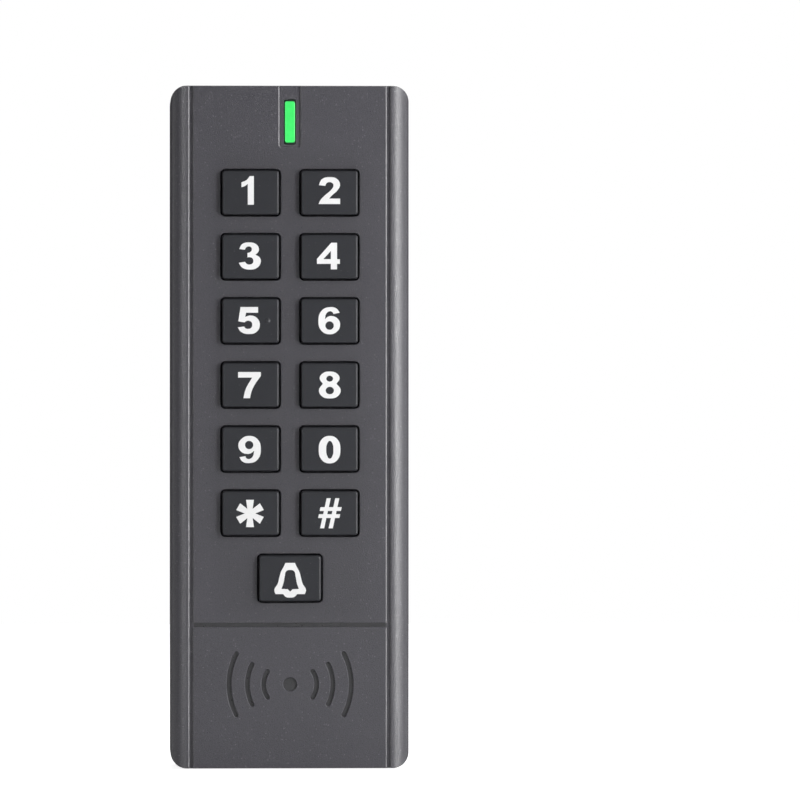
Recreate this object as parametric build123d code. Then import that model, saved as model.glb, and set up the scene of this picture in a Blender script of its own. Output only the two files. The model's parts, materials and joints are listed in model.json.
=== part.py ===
from build123d import *
import os

# Slim wall-mounted keypad and card reader, powered by three AAA cells.
#
# Frame: the origin is the middle of the wall plate's back face, which lies on the wall.
# +Z is up, +X is to the right of someone facing the reader, and the front looks along -Y.
# "Depth" is the distance out from the wall, so a point at depth d has y = -d.
# All sizes are in millimetres.

# ---- Body -------------------------------------------------------------------------
BODY_WIDTH = 45.5
BODY_HEIGHT = 130.0
CORNER_RADIUS = 3.1  # corners of the front outline
CHEEK_RADIUS = 3.5  # rounding of the two long front edges
END_EDGE_RADIUS = 0.3  # softening of the front edges at the top and bottom
RIM_STANDOFF = 0.4  # the body's rear rim stays this far off the wall
RIM_WALL = 1.8
FRONT_WALL = 2.0
EDGE_BREAK = 0.12  # small chamfer round the key openings and the engraved mark
GROOVE_BREAK = 0.2  # wider, shallow bevel along the grooves and the indicator channel
GROOVE_BREAK_DEPTH = 0.1

# ---- Grooves and engraved marks on the front -----------------------------------------
GROOVE_WIDTH = 0.9
GROOVE_DEPTH = 0.5
CARD_PANEL_HEIGHT = 27.3  # bottom edge to the middle of the cross groove
CROSS_GROOVE_WIDTH = 1.0
MARK_DEPTH = 0.5
MARK_WIDTH = 0.8
MARK_DOT_RADIUS = 1.3
MARK_ABOVE_BOTTOM = 16.0
COIL_THICKNESS = 1.1  # card antenna glued behind the mark
# Each wave of the card mark: reach from the dot, bend radius and half angle.
WAVES = ((5.05, 4.4, 34.0), (8.15, 8.55, 26.5), (11.65, 12.75, 27.2))

# ---- Keys ---------------------------------------------------------------------------
COLUMN_PITCH = 15.0
ROW_PITCH = 12.2
BELL_PITCH = 12.4  # last row to the bell key
FIRST_ROW_DROP = 20.4  # top edge to the middle of the first row
KEY_WIDTH = 11.0
KEY_HEIGHT = 8.6
BELL_WIDTH = 12.0
BELL_HEIGHT = 8.9
KEY_CORNER = 0.65
KEY_GAP = 0.2  # running clearance between a cap and its opening
KEY_PROUD = 1.4  # caps stand this far out of the front face
KEY_TRAVEL = 0.8
KEY_EDGE_RADIUS = 0.4
KEY_DRAFT = 2.0  # degrees
FLANGE_LIP = 0.6  # flange beyond the cap on each side
FLANGE_THICKNESS = 0.8
FLANGE_PLAY = 0.05  # gap between the flange and the front wall at rest
CAP_WALL = 1.3
CAP_ROOF = 2.7
PEG_RADIUS = 0.8  # mat pegs through the board
PIP_RADIUS = 0.55
PIP_HEIGHT = 0.2
PIP_OFFSET = 3.2  # middle of the 5 key to its locating pip
KEY_NAMES = (("1", "2"), ("3", "4"), ("5", "6"), ("7", "8"), ("9", "0"), ("star", "hash"))
PIP_KEY = "5"

# ---- Indicator ------------------------------------------------------------------------
INDICATOR_DROP = 6.9  # top edge to the middle of the light bar
LENS_WIDTH = 2.0
LENS_HEIGHT = 8.3
LENS_CORNER = 0.3
LENS_GAP = 0.18
LENS_FLANGE_LIP = 0.5
LENS_FLANGE_THICKNESS = 0.8
CHANNEL_WIDTH = 4.0
CHANNEL_DEPTH = 0.35
CHANNEL_BELOW_LENS = 0.65
CHANNEL_CORNER = 0.5

# ---- The stack from the wall to the front, which adds up to the body's depth -----------
SHEET = 1.2  # wall plate thickness
REAR_COVER_BACK = 1.8
REAR_COVER_THICKNESS = 1.6
SEAL_THICKNESS = 0.8
BOARD_GAP = 0.15  # between the battery bay's floor and the board
BOARD_THICKNESS = 1.2
MAT_THICKNESS = 0.6
MAT_CLEARANCE = 0.1  # left under a fully pressed flange
FIT = 0.1  # general clearance between pieces that sit beside each other
THREAD_GAP = 0.03  # radial clearance left between a screw and its hole

# ---- Sealed cavity ----------------------------------------------------------------------
CAVITY_WALL = 3.7  # side wall beside the cavity
CAVITY_END = 7.0  # solid end above and below the cavity at the ledge
CAVITY_TOP_END = 2.1  # thinner top end behind the indicator
LIP_DEPTH = 2.2  # depth of the lip over the taller front part of the cavity
CAVITY_CORNER = 1.0
LEDGE_WIDTH = 1.5
POST_WIDTH = 5.0
POST_HEIGHT = 5.8
COVER_SCREW_IN = 2.5  # cavity side to a cover screw
COVER_SCREW_UP = 3.0  # cavity end to a cover screw

# ---- Power ---------------------------------------------------------------------------------
CELL_RADIUS = 5.25
CELL_LENGTH = 43.7
CELL_NUB_RADIUS = 1.9
CELL_NUB = 0.8
CELL_COUNT = 3
CELL_GAP = 0.3
BAY_WALL = 1.2
BAY_FLOOR = 1.0
BAY_CENTRE_Z = 6.0
SPRING_LENGTH = 3.6
SPRING_WIRE = 0.25  # wire radius
SPRING_RADIUS = 2.0
SPRING_TURNS = 3
CONTACT_THICKNESS = 0.4
DOOR_THICKNESS = 1.2
DOOR_SEAL = 0.3
DOOR_LIP = 0.85
LEAD_RADIUS = 0.48  # insulated battery wire
PAD_THICKNESS = 0.3
TAIL_WIDTH = 1.6  # solder tails of the two end contacts

# ---- Wall plate and its screws ----------------------------------------------------------------
PLATE_GAP = 0.5  # plate edge to the body's rim
SLOT_SPACING = 83.3
SLOT_RADIUS = 2.2
SLOT_LENGTH = 8.0
HEAD_ROOM = 2.8  # depth of the pockets for wall screw heads
HEAD_POCKET_WIDTH = 10.0
HOOK_WIDTH = 6.0
HOOK_OFFSET = 10.0
HOOK_BITE = 0.7  # how far a hook reaches into the top wall
HOOK_PLAY = 0.3
TAB_WIDTH = 12.0
TAB_DEPTH = 7.4
BEND_RADIUS = 0.6
WINDOW_WIDTH = 12.0
WINDOW_HEIGHT = 18.0
WINDOW_OFFSET = 23.0

# ---- Screws -----------------------------------------------------------------------------------
SMALL_SHANK = 1.0
SMALL_HEAD = 2.0
SMALL_HEAD_HEIGHT = 0.9
LOCK_SHANK = 1.5
LOCK_HEAD = 2.8
LOCK_HEAD_HEIGHT = 1.3
LOCK_LENGTH = 4.4
LOCK_DEPTH = 4.6  # depth of the security screw's axis
HEX_KEY = 1.0  # across-corner radius of the hexagon socket

# ---- Parts on the board ----------------------------------------------------------------------
PAD_RADIUS = 2.2  # pair of half-moon contacts under each dome
PAD_SLIT = 0.4
PLATING = 0.05
CHIP_STANDOFF = 0.1
CHIP_LEAD = (0.24, 0.7, 0.3)  # width, reach and thickness
CONTROLLER = (7.0, 7.0, 1.5, 8)  # width, height, thickness and leads on each side
READER = (4.0, 5.0, 1.1, 6)
CONTROLLER_X = -8.5
READER_X = 11.5
RADIO_X = 1.9
RADIO_BOARD = (10.0, 11.0, 0.8)
RADIO_CAN = (8.4, 7.2, 1.8)
RADIO_CAN_WALL = 0.2
BUZZER_RADIUS = 5.5
BUZZER_HEIGHT = 4.5
BUZZER_HOLE = 1.0
CERAMIC = (1.0, 0.5, 0.5)  # the small resistors and capacitors
CERAMIC_PITCH = 1.6
ELECTROLYTIC_RADIUS = 1.6
ELECTROLYTIC_HEIGHT = 5.0
TAMPER_RADIUS = 1.8
TAMPER_X = -9.8
TAMPER_UP = 4.2  # middle of the buzzer to the sensor
TAMPER_SIZE = (2.0, 2.0, 1.0)
PLUG_X = 9.0
PLUG_UP = 3.4  # bay wall to the foot of the plug
PLUG_PITCH = 2.4

# ---- Depths worked out from the stack ------------------------------------------------------------
cover_front = REAR_COVER_BACK + REAR_COVER_THICKNESS
ledge = cover_front + SEAL_THICKNESS
door_front = REAR_COVER_BACK + DOOR_THICKNESS
cell_back = door_front + DOOR_SEAL + PAD_THICKNESS + FIT
cell_axis = cell_back + CELL_RADIUS
bay_floor_back = cell_back + 2 * CELL_RADIUS + FIT
bay_floor_front = bay_floor_back + BAY_FLOOR
board_back = bay_floor_front + BOARD_GAP
board_front = board_back + BOARD_THICKNESS
mat_front = board_front + MAT_THICKNESS
flange_back = mat_front + MAT_CLEARANCE + KEY_TRAVEL
flange_front = flange_back + FLANGE_THICKNESS
front_inner = flange_front + FLANGE_PLAY
front_face = front_inner + FRONT_WALL

# ---- Places worked out from the sizes above -------------------------------------------------------
half_width = BODY_WIDTH / 2
half_height = BODY_HEIGHT / 2
recess_x = half_width - RIM_WALL
recess_z = half_height - RIM_WALL
cavity_x = half_width - CAVITY_WALL
cavity_z = half_height - CAVITY_END
cavity_top = half_height - CAVITY_TOP_END
cover_x = cavity_x + LEDGE_WIDTH
cover_z = cavity_z + LEDGE_WIDTH
groove_x = half_width - CHEEK_RADIUS - GROOVE_WIDTH / 2
card_groove_z = CARD_PANEL_HEIGHT - half_height
mark_z = MARK_ABOVE_BOTTOM - half_height
lens_z = half_height - INDICATOR_DROP
channel_floor = front_face - CHANNEL_DEPTH
first_row_z = half_height - FIRST_ROW_DROP
last_row_z = first_row_z - ROW_PITCH * (len(KEY_NAMES) - 1)
bell_z = last_row_z - BELL_PITCH
cover_screw_x = cavity_x - COVER_SCREW_IN
cover_screw_z = cavity_z - COVER_SCREW_UP
cover_screws = [(sx * cover_screw_x, sz * cover_screw_z) for sx in (-1, 1) for sz in (-1, 1)]
post_foot_z = cover_screw_z - POST_HEIGHT / 2 + 0.5

cell_pitch = 2 * CELL_RADIUS + CELL_GAP
bay_x = (CELL_COUNT * 2 * CELL_RADIUS + (CELL_COUNT + 1) * CELL_GAP) / 2
bay_length = CELL_NUB + CELL_LENGTH + SPRING_LENGTH + 2 * CONTACT_THICKNESS + 2 * FIT
bay_bottom = BAY_CENTRE_Z - bay_length / 2
bay_top = BAY_CENTRE_Z + bay_length / 2
cell_x = [(n - (CELL_COUNT - 1) / 2) * cell_pitch for n in range(CELL_COUNT)]
cell_up = [n % 2 == 0 for n in range(CELL_COUNT)]  # cells with their plus end at the top
door_ear_z = bay_bottom - BAY_WALL - 3.0

board_x = cavity_x - 0.4
board_top = cavity_top - 0.4
board_bottom = card_groove_z + 0.4
peg_places = [first_row_z - (n + 0.5) * ROW_PITCH for n in (0, 2, 4)]
service_z = bay_bottom - BAY_WALL - 7.4  # middle of the chips below the battery bay
buzzer_z = bay_top + BAY_WALL + 10.6
tamper_z = buzzer_z + TAMPER_UP
plug_z = bay_top + BAY_WALL + PLUG_UP
plug_depth = board_back - 1.3
lead_depth = bay_floor_back - 0.8


FROM_BOTTOM = (Align.CENTER, Align.CENTER, Align.MIN)


def slab(outline, back, front):
    """An outline in the X-Z plane made solid between two depths."""
    return extrude(Plane.XZ.offset(back) * outline, amount=front - back)


def box(x, z, back, front):
    """A block from x[0] to x[1] and z[0] to z[1], between two depths."""
    middle = Pos((x[0] + x[1]) / 2, (z[0] + z[1]) / 2)
    return slab(middle * Rectangle(x[1] - x[0], z[1] - z[0]), back, front)


def centred(x, z, width, height, back, front):
    """A block round a middle point, between two depths."""
    return slab(Pos(x, z) * Rectangle(width, height), back, front)


def disc(radius, x, z, back, front):
    return slab(Pos(x, z) * Circle(radius), back, front)


def lathe(points, x=0.0, z=0.0):
    """A solid of revolution about the line through (x, z) along Y. Points are (radius, depth)."""
    half = make_face(Polyline([(r, -d, 0) for r, d in points], close=True))
    return Pos(x, 0, z) * revolve(half, Axis.Y)


def along_z(outline, low, high):
    """An X-Y outline made solid between two heights."""
    return extrude(Plane.XY.offset(low) * outline, amount=high - low)


def along_x(points, low, high):
    """A (z, depth) outline made solid between two x places."""
    face = make_face(Polyline([(low, -d, z) for z, d in points], close=True))
    return extrude(face, amount=high - low, dir=(1, 0, 0))


def group(name, solids):
    """Separate identical solids that share one node."""
    return Compound(label=name, children=list(solids))


# ---- Front cover ---------------------------------------------------------------------------


def groove_profile(centre, width, depth):
    """Points of a groove across the front face, with its two edges bevelled. They are (place, depth)."""
    inner = width / 2 - GROOVE_BREAK / 2
    outer = inner + GROOVE_BREAK
    shoulder, over = front_face - GROOVE_BREAK_DEPTH, front_face + 1.0
    return [
        (centre - outer, over),
        (centre - outer, front_face),
        (centre - inner, shoulder),
        (centre - inner, front_face - depth),
        (centre + inner, front_face - depth),
        (centre + inner, shoulder),
        (centre + outer, front_face),
        (centre + outer, over),
    ]


def outer_body():
    """Rounded front outline crossed with two sections that round its front edges."""
    outline = RectangleRounded(BODY_WIDTH, BODY_HEIGHT, CORNER_RADIUS)
    block = slab(outline, RIM_STANDOFF, front_face)
    middle = (RIM_STANDOFF + front_face) / 2
    across = Pos(0, -middle) * Rectangle(BODY_WIDTH, front_face - RIM_STANDOFF)
    across = fillet(across.vertices().group_by(Axis.Y)[0], CHEEK_RADIUS)
    upright = Plane.YZ * (Pos(-middle, 0) * Rectangle(front_face - RIM_STANDOFF, BODY_HEIGHT))
    upright = fillet(upright.vertices().group_by(Axis.Y)[0], END_EDGE_RADIUS)
    body = block & along_z(across, -half_height, half_height)
    return body & extrude(upright, amount=half_width, both=True)


def wave_outline(side, reach, radius, half_angle):
    """One wave of the card mark: an arc stroke with round ends."""
    centre_x = side * (reach - radius)
    turn = 0 if side > 0 else 180
    arc = CenterArc((centre_x, mark_z), radius, turn - half_angle, 2 * half_angle)
    return SlotArc(arc=arc, height=MARK_WIDTH)


def front_marks():
    """Outlines of the engraved card mark."""
    waves = [wave_outline(side, *wave) for wave in WAVES for side in (-1, 1)]
    return waves + [Pos(0, mark_z) * Circle(MARK_DOT_RADIUS)]


def key_places():
    """Name, x and z of every key in the grid."""
    for row, names in enumerate(KEY_NAMES):
        for column, name in enumerate(names):
            x = (column - 0.5) * COLUMN_PITCH
            yield name, x, first_row_z - row * ROW_PITCH


def key_sizes():
    """Name, x, z, width and height of every key, the bell key last."""
    for name, x, z in key_places():
        yield name, x, z, KEY_WIDTH, KEY_HEIGHT
    yield "bell", 0.0, bell_z, BELL_WIDTH, BELL_HEIGHT


def broken_opening(outline_at, back, bevel, bevel_depth):
    """A cutter from the given depth out through the front, with a bevelled edge at the face.
    outline_at(grow) gives the outline grown by that much."""
    cutter = slab(outline_at(0.0), back, front_face + 1.0)
    lower = Plane.XZ.offset(front_face - bevel_depth) * outline_at(0.0)
    upper = Plane.XZ.offset(front_face) * outline_at(bevel)
    return cutter + loft([lower, upper])


def key_opening(x, z, width, height):
    def outline_at(grow):
        size = KEY_GAP + grow
        return Pos(x, z) * RectangleRounded(width + 2 * size, height + 2 * size, KEY_CORNER + size)

    return broken_opening(outline_at, front_inner - 1.0, EDGE_BREAK, EDGE_BREAK)


def board_post_places():
    """The four posts that carry the board, near its corners."""
    x = cavity_x - 3.0
    return [(sx * x, z) for sx in (-1, 1) for z in (cover_screw_z - 6.4, board_bottom + 3.8)]


def corner_posts(cut_back):
    """The four corner posts that the cover screws bite into."""
    inner = cavity_x - POST_WIDTH
    for sx in (-1, 1):
        x = sorted((sx * inner, sx * (cavity_x + 0.5)))
        yield box(x, (post_foot_z, cavity_top + 0.5), cut_back, front_inner + 0.5)
        yield box(x, (-cavity_z - 0.5, -post_foot_z), cut_back, front_inner + 0.5)


def front_cover():
    body = outer_body()
    rim = RectangleRounded(2 * recess_x, 2 * recess_z, CORNER_RADIUS - RIM_WALL)
    cuts = [slab(rim, 0.0, ledge)]

    cavity = RectangleRounded(2 * cavity_x, 2 * cavity_z, CAVITY_CORNER)
    hollow = slab(cavity, ledge - 1.0, front_inner)
    hollow += box((-cavity_x, cavity_x), (0.0, cavity_top), ledge + LIP_DEPTH, front_inner)
    cuts.append(hollow - list(corner_posts(ledge - 2.0)))

    hook_pocket = HOOK_WIDTH / 2 + HOOK_PLAY
    for side in (-1, 1):
        x = (side * HOOK_OFFSET - hook_pocket, side * HOOK_OFFSET + hook_pocket)
        top = recess_z + HOOK_BITE + HOOK_PLAY
        cuts.append(box(x, (recess_z - 1.0, top), REAR_COVER_BACK - FIT, ledge))

    tab_room = TAB_WIDTH / 2 + HOOK_PLAY
    cuts.append(box((-tab_room, tab_room), (-recess_z, -cover_z - 0.4), 0.0, TAB_DEPTH + 0.8))
    for side in (-1, 1):
        groove = make_face(
            Polyline(
                [(x, -d) for x, d in groove_profile(side * groove_x, GROOVE_WIDTH, GROOVE_DEPTH)],
                close=True,
            )
        )
        cuts.append(along_z(groove, -half_height - 1, half_height + 1))
    cross = groove_profile(card_groove_z, CROSS_GROOVE_WIDTH, GROOVE_DEPTH)
    cuts.append(along_x(cross, -groove_x, groove_x))

    cuts += [key_opening(*place[1:]) for place in key_sizes()]
    cuts += indicator_cuts()
    body = body.cut(*cuts)
    body = body.cut(*[slab(mark, front_face - MARK_DEPTH, front_face + 1) for mark in front_marks()])
    body = break_mark_edges(body)

    body = body.fuse(*[disc(2.2, x, z, board_front, front_inner + 0.5) for x, z in board_post_places()])
    hole = SMALL_SHANK + THREAD_GAP
    pilots = [disc(hole, x, z, 0.0, ledge + 6.4) for x, z in cover_screws]
    pilots += [disc(hole, x, z, 0.0, board_front + 3.2) for x, z in board_post_places()]
    body = body.cut(*pilots, lock_screw_hole())
    return chamfer(outer_rim_edges(body), 0.3)


def outer_rim_edges(body):
    """The outside edges of the rim that faces the wall."""
    return [
        e
        for e in body.edges()
        if abs(e.center().Y + RIM_STANDOFF) < 1e-6
        and (abs(e.center().X) > recess_x + 0.4 or abs(e.center().Z) > recess_z + 0.4)
    ]


def break_mark_edges(body):
    """Breaks the sharp edges where the engraved card mark meets the face."""
    reach = max(r for r, _, _ in WAVES) + MARK_WIDTH
    edges = [
        e
        for e in body.edges()
        if abs(e.center().Y + front_face) < 1e-6
        and abs(e.center().X) < reach
        and abs(e.center().Z - mark_z) < reach * 0.8
        and e.bounding_box().size.Y < 1e-6
    ]
    return chamfer(edges, EDGE_BREAK)


def indicator_cuts():
    """The shallow channel that runs off the top edge, and the slot for the light bar in it."""
    low = lens_z - LENS_HEIGHT / 2 - CHANNEL_BELOW_LENS
    high = half_height + 2 * CHANNEL_CORNER + 1.0

    def channel(grow):
        size = Rectangle(CHANNEL_WIDTH + 2 * grow, high - low + grow)
        placed = Pos(0, (low - grow + high) / 2) * size
        return fillet(placed.vertices().group_by(Axis.Y)[0], CHANNEL_CORNER + grow)

    slot = RectangleRounded(
        LENS_WIDTH + 2 * LENS_GAP, LENS_HEIGHT + 2 * LENS_GAP, LENS_CORNER + LENS_GAP
    )
    return [
        broken_opening(channel, channel_floor, GROOVE_BREAK, GROOVE_BREAK_DEPTH),
        slab(Pos(0, lens_z) * slot, front_inner - 1.0, front_face),
    ]


def lock_screw_hole():
    """Countersunk hole for the security screw, up through the bottom wall."""
    gap = 0.15
    sink = Cone(LOCK_HEAD + gap, LOCK_SHANK + gap, LOCK_HEAD_HEIGHT + gap, align=FROM_BOTTOM)
    hole = Cylinder(LOCK_SHANK + gap, RIM_WALL + 1.0, align=FROM_BOTTOM)
    return Pos(0, -LOCK_DEPTH, -half_height) * (sink + hole)


# ---- Keys ----------------------------------------------------------------------------------


def key_cap(x, z, width, height, pip):
    """A moulded cap with a retaining flange and a pocket for the mat's rubber core."""
    top = front_face + KEY_PROUD
    outline = Pos(x, z) * RectangleRounded(width, height, KEY_CORNER)
    cap = extrude(
        Plane.XZ.offset(flange_front) * outline, amount=top - flange_front, taper=KEY_DRAFT
    )
    cap = fillet(cap.faces().sort_by(Axis.Y)[0].edges(), KEY_EDGE_RADIUS)
    lip = 2 * FLANGE_LIP
    flange = Pos(x, z) * RectangleRounded(width + lip, height + lip, KEY_CORNER + FLANGE_LIP)
    cap += slab(flange, flange_back, flange_front)
    cap -= slab(core_outline(x, z, width, height, 0.0), flange_back, top - CAP_ROOF)
    if pip:
        sphere_r = (PIP_RADIUS**2 + PIP_HEIGHT**2) / (2 * PIP_HEIGHT)
        ball = Pos(x + PIP_OFFSET, -(top + PIP_HEIGHT - sphere_r), z) * Sphere(sphere_r)
        cap += ball & disc(2 * PIP_RADIUS, x + PIP_OFFSET, z, top - 0.3, top + 1.0)
    return cap


def core_outline(x, z, width, height, shrink):
    """The rubber core inside a cap, smaller than its pocket by shrink on each side."""
    inset = 2 * (CAP_WALL + shrink)
    return Pos(x, z) * RectangleRounded(width - inset, height - inset, 0.5)


def dome(x, z, width, height):
    """The hollow cone of the mat under one key, with the rubber core that fills the cap."""
    cone_foot = min(height / 2 - 0.3, 4.0)
    cone_top = cone_foot - 1.3
    web = 0.3
    shell = lathe(
        [
            (0, mat_front - 0.2),
            (cone_foot, mat_front - 0.2),
            (cone_foot, mat_front),
            (cone_top, flange_back),
            (0, flange_back),
        ],
        x,
        z,
    )
    core_top = front_face + KEY_PROUD - CAP_ROOF
    core = slab(core_outline(x, z, width, height, FIT), flange_back - 0.3, core_top)
    hollow = lathe(
        [
            (0, board_front - 0.1),
            (cone_foot - web, board_front - 0.1),
            (cone_foot - web, mat_front - 0.1),
            (cone_top - web, board_front + KEY_TRAVEL),
            (0, board_front + KEY_TRAVEL),
        ],
        x,
        z,
    )
    return shell + core, hollow


def key_mat():
    """Silicone sheet over the board, held by three pegs, with a dome under every key."""
    half = COLUMN_PITCH / 2 + KEY_WIDTH / 2 + FLANGE_LIP
    top = first_row_z + KEY_HEIGHT / 2 + 2.0
    bottom = bell_z - BELL_HEIGHT / 2 - 2.0
    outline = Pos(0, (top + bottom) / 2) * RectangleRounded(2 * half, top - bottom, 1.5)
    domes = [dome(*place[1:]) for place in key_sizes()]
    pegs = [disc(PEG_RADIUS, 0, z, board_back, mat_front) for z in peg_places]
    mat = slab(outline, board_front, mat_front).fuse(*[d[0] for d in domes], *pegs)
    return mat.cut(*[d[1] for d in domes], *[led_block(z, FIT) for z in led_places()])


# ---- Indicator -----------------------------------------------------------------------------


def indicator_lens():
    bar = Pos(0, lens_z) * RectangleRounded(LENS_WIDTH, LENS_HEIGHT, LENS_CORNER)
    flange_size = (LENS_WIDTH + 2 * LENS_FLANGE_LIP, LENS_HEIGHT + 2 * LENS_FLANGE_LIP)
    flange = Pos(0, lens_z) * Rectangle(*flange_size)
    lens = slab(bar, front_inner - LENS_FLANGE_THICKNESS, channel_floor + 0.2)
    lens = fillet(lens.faces().sort_by(Axis.Y)[0].edges(), 0.15)
    return lens + slab(flange, front_inner - LENS_FLANGE_THICKNESS, front_inner)


def status_led():
    body = box((-1.0, 1.0), (lens_z - 0.7, lens_z + 0.7), board_front, board_front + 0.6)
    return body + disc(0.55, 0, lens_z, board_front + 0.6, board_front + 0.75)


# ---- Main board ------------------------------------------------------------------------------


def main_board():
    board = box((-board_x, board_x), (board_bottom, board_top), board_back, board_front)
    inner = cavity_x - POST_WIDTH - 0.4
    for side in (-1, 1):
        x = sorted((side * inner, side * (board_x + 1)))
        board -= box(x, (post_foot_z - 0.4, board_top + 1), board_back - 1, board_front + 1)
    holes = [(SMALL_SHANK + 0.2, x, z) for x, z in board_post_places()]
    holes += [(PEG_RADIUS + THREAD_GAP, 0, z) for z in peg_places]
    return board.cut(*[disc(r, x, z, board_back - 1, board_front + 1) for r, x, z in holes])


def contact_pads():
    """Two half-moon gold pads under each dome."""
    pads = []
    for _, x, z, _, _ in key_sizes():
        whole = disc(PAD_RADIUS, x, z, board_front, board_front + PLATING)
        for side in (-1, 1):
            half = sorted((x + side * PAD_SLIT / 2, x + side * (PAD_RADIUS + 1)))
            tall = (z - PAD_RADIUS - 1, z + PAD_RADIUS + 1)
            pads.append(whole & box(half, tall, board_front, board_front + 1))
    return group("contact_pads", pads)


def led_places():
    """Heights of the small LEDs, one between the two keys of each row."""
    return [z for _, x, z in key_places() if x < 0]


def led_block(z, grow):
    half_x, half_z = 0.5 + grow, 0.3 + grow
    return box((-half_x, half_x), (z - half_z, z + half_z), board_front, board_front + 0.35 + grow)


def backlight_leds():
    return group("backlight_leds", [led_block(z, 0.0) for z in led_places()])


def chip(x, z, width, height, thickness, leads_per_side):
    """A square chip on the board's back with gull-wing leads on two sides."""
    lead_width, lead_reach, lead_thickness = CHIP_LEAD
    body = centred(x, z, width, height, board_back - thickness, board_back - CHIP_STANDOFF)
    row = height - 1.0
    pitch = row / (leads_per_side - 1)
    for n in range(leads_per_side):
        place = (x, z - row / 2 + n * pitch)
        size = (width + 2 * lead_reach, lead_width)
        body += centred(*place, *size, board_back - lead_thickness, board_back)
    return body


def controller_chip():
    return chip(CONTROLLER_X, service_z, *CONTROLLER)


def reader_chip():
    return chip(READER_X, service_z + 1.6, *READER)


def radio_module():
    """A small radio board carried on the main board's back."""
    width, height, thickness = RADIO_BOARD
    return centred(RADIO_X, service_z, width, height, board_back - thickness, board_back)


def radio_shield():
    width, height, depth = RADIO_CAN
    wall = RADIO_CAN_WALL
    place = (RADIO_X, service_z + 1.4)
    front = board_back - RADIO_BOARD[2]
    can = centred(*place, width, height, front - depth, front)
    room = centred(*place, width - 2 * wall, height - 2 * wall, front - depth + wall, front)
    return can - room


def buzzer():
    """Round sounder with its sound hole facing back."""
    back = board_back - BUZZER_HEIGHT
    can = disc(BUZZER_RADIUS, 0, buzzer_z, back, board_back)
    return can - disc(BUZZER_HOLE, 0, buzzer_z, back - 0.5, back + 1.5)


def board_parts():
    """Ceramic capacitors, resistors and two can capacitors as small separate blocks on the back."""
    width, height, thickness = CERAMIC
    blocks = [
        centred(x, service_z - 3.0 + n * CERAMIC_PITCH, width, height, board_back - thickness, board_back)
        for x in (-14.2, 15.4)
        for n in range(4)
    ]
    blocks.append(centred(11.2, service_z - 3.8, 3.2, 1.6, board_back - 0.9, board_back))
    back = board_back - ELECTROLYTIC_HEIGHT
    for x in (-15.5, 15.5):
        blocks.append(disc(ELECTROLYTIC_RADIUS, x, buzzer_z - 6.0, back, board_back))
    return group("board_parts", blocks)


def tamper_sensor():
    width, height, thickness = TAMPER_SIZE
    return centred(TAMPER_X, tamper_z, width, height, board_back - thickness, board_back)


def board_screws():
    return group(
        "board_screws",
        [pan_screw(x, z, board_back, 4.0) for x, z in board_post_places()],
    )


def pan_screw(x, z, seat, length):
    """A small screw whose head sits behind the given depth and whose shank points to the front."""
    head = lathe(
        [
            (0, seat - SMALL_HEAD_HEIGHT),
            (SMALL_HEAD - 0.35, seat - SMALL_HEAD_HEIGHT),
            (SMALL_HEAD, seat - SMALL_HEAD_HEIGHT + 0.35),
            (SMALL_HEAD, seat),
            (SMALL_SHANK, seat),
            (SMALL_SHANK, seat + length - 0.5),
            (SMALL_SHANK - 0.5, seat + length),
            (0, seat + length),
        ],
        x,
        z,
    )
    back = seat - SMALL_HEAD_HEIGHT - 0.5
    cross = box((x - 1.1, x + 1.1), (z - 0.2, z + 0.2), back, back + 1.0)
    cross += box((x - 0.2, x + 0.2), (z - 1.1, z + 1.1), back, back + 1.0)
    return head - cross


# ---- Card antenna ----------------------------------------------------------------------------


def antenna_coil():
    """Flat wound coil glued behind the card panel."""
    outer_x = cavity_x - POST_WIDTH - 0.5
    outer_z = min(mark_z + cavity_z, card_groove_z - mark_z) - 0.4
    winding = 2.2
    ring = Pos(0, mark_z) * RectangleRounded(2 * outer_x, 2 * outer_z, 5.0)
    hole = Pos(0, mark_z) * RectangleRounded(
        2 * (outer_x - winding), 2 * (outer_z - winding), 5.0 - winding
    )
    return slab(ring - hole, front_inner - COIL_THICKNESS, front_inner)


def antenna_tail():
    """Flat flexible strip from the back of the coil to the front of the board."""
    coil_back = front_inner - COIL_THICKNESS
    coil_z = card_groove_z - 3.6
    thick = 0.15
    points = [
        (coil_z - 1.4, coil_back),
        (board_bottom - 1.0, coil_back),
        (board_bottom, board_front + thick),
        (board_bottom + 1.4, board_front + thick),
        (board_bottom + 1.4, board_front),
        (board_bottom - 0.1, board_front),
        (board_bottom - 1.1, coil_back - thick),
        (coil_z - 1.4, coil_back - thick),
    ]
    return along_x(points, -2.0, 2.0)


# ---- Rear cover and its seal --------------------------------------------------------------------


def head_pockets(grow, front):
    """Blocks round the two wall screw heads, grown by a wall thickness."""
    half_x = HEAD_POCKET_WIDTH / 2 + grow
    half_z = SLOT_LENGTH / 2 + 2.0 + grow
    for side in (-1, 1):
        z = side * SLOT_SPACING / 2
        yield box((-half_x, half_x), (z - half_z, z + half_z), REAR_COVER_BACK, front)


def door_outline(shrink):
    """The battery door: over the bay, with an ear for its screw."""
    half = bay_x + DOOR_LIP - shrink
    top = bay_top + DOOR_LIP - shrink
    bottom = bay_bottom - DOOR_LIP + shrink
    plate = Pos(0, (top + bottom) / 2) * RectangleRounded(2 * half, top - bottom, 0.8)
    ear_bottom = door_ear_z - 3.2 + shrink
    ear_top = bottom + 3.0
    ear = Pos(0, (ear_top + ear_bottom) / 2)
    return plate + ear * RectangleRounded(8.0 - 2 * shrink, ear_top - ear_bottom, 1.5)


def screw_hole(x, z, radius, front):
    """A hole with room for a small screw's head, cut from the back."""
    sink = disc(SMALL_HEAD + 0.2, x, z, 0.0, REAR_COVER_BACK + SMALL_HEAD_HEIGHT + 0.05)
    return sink + disc(radius, x, z, 0.0, front)


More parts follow.
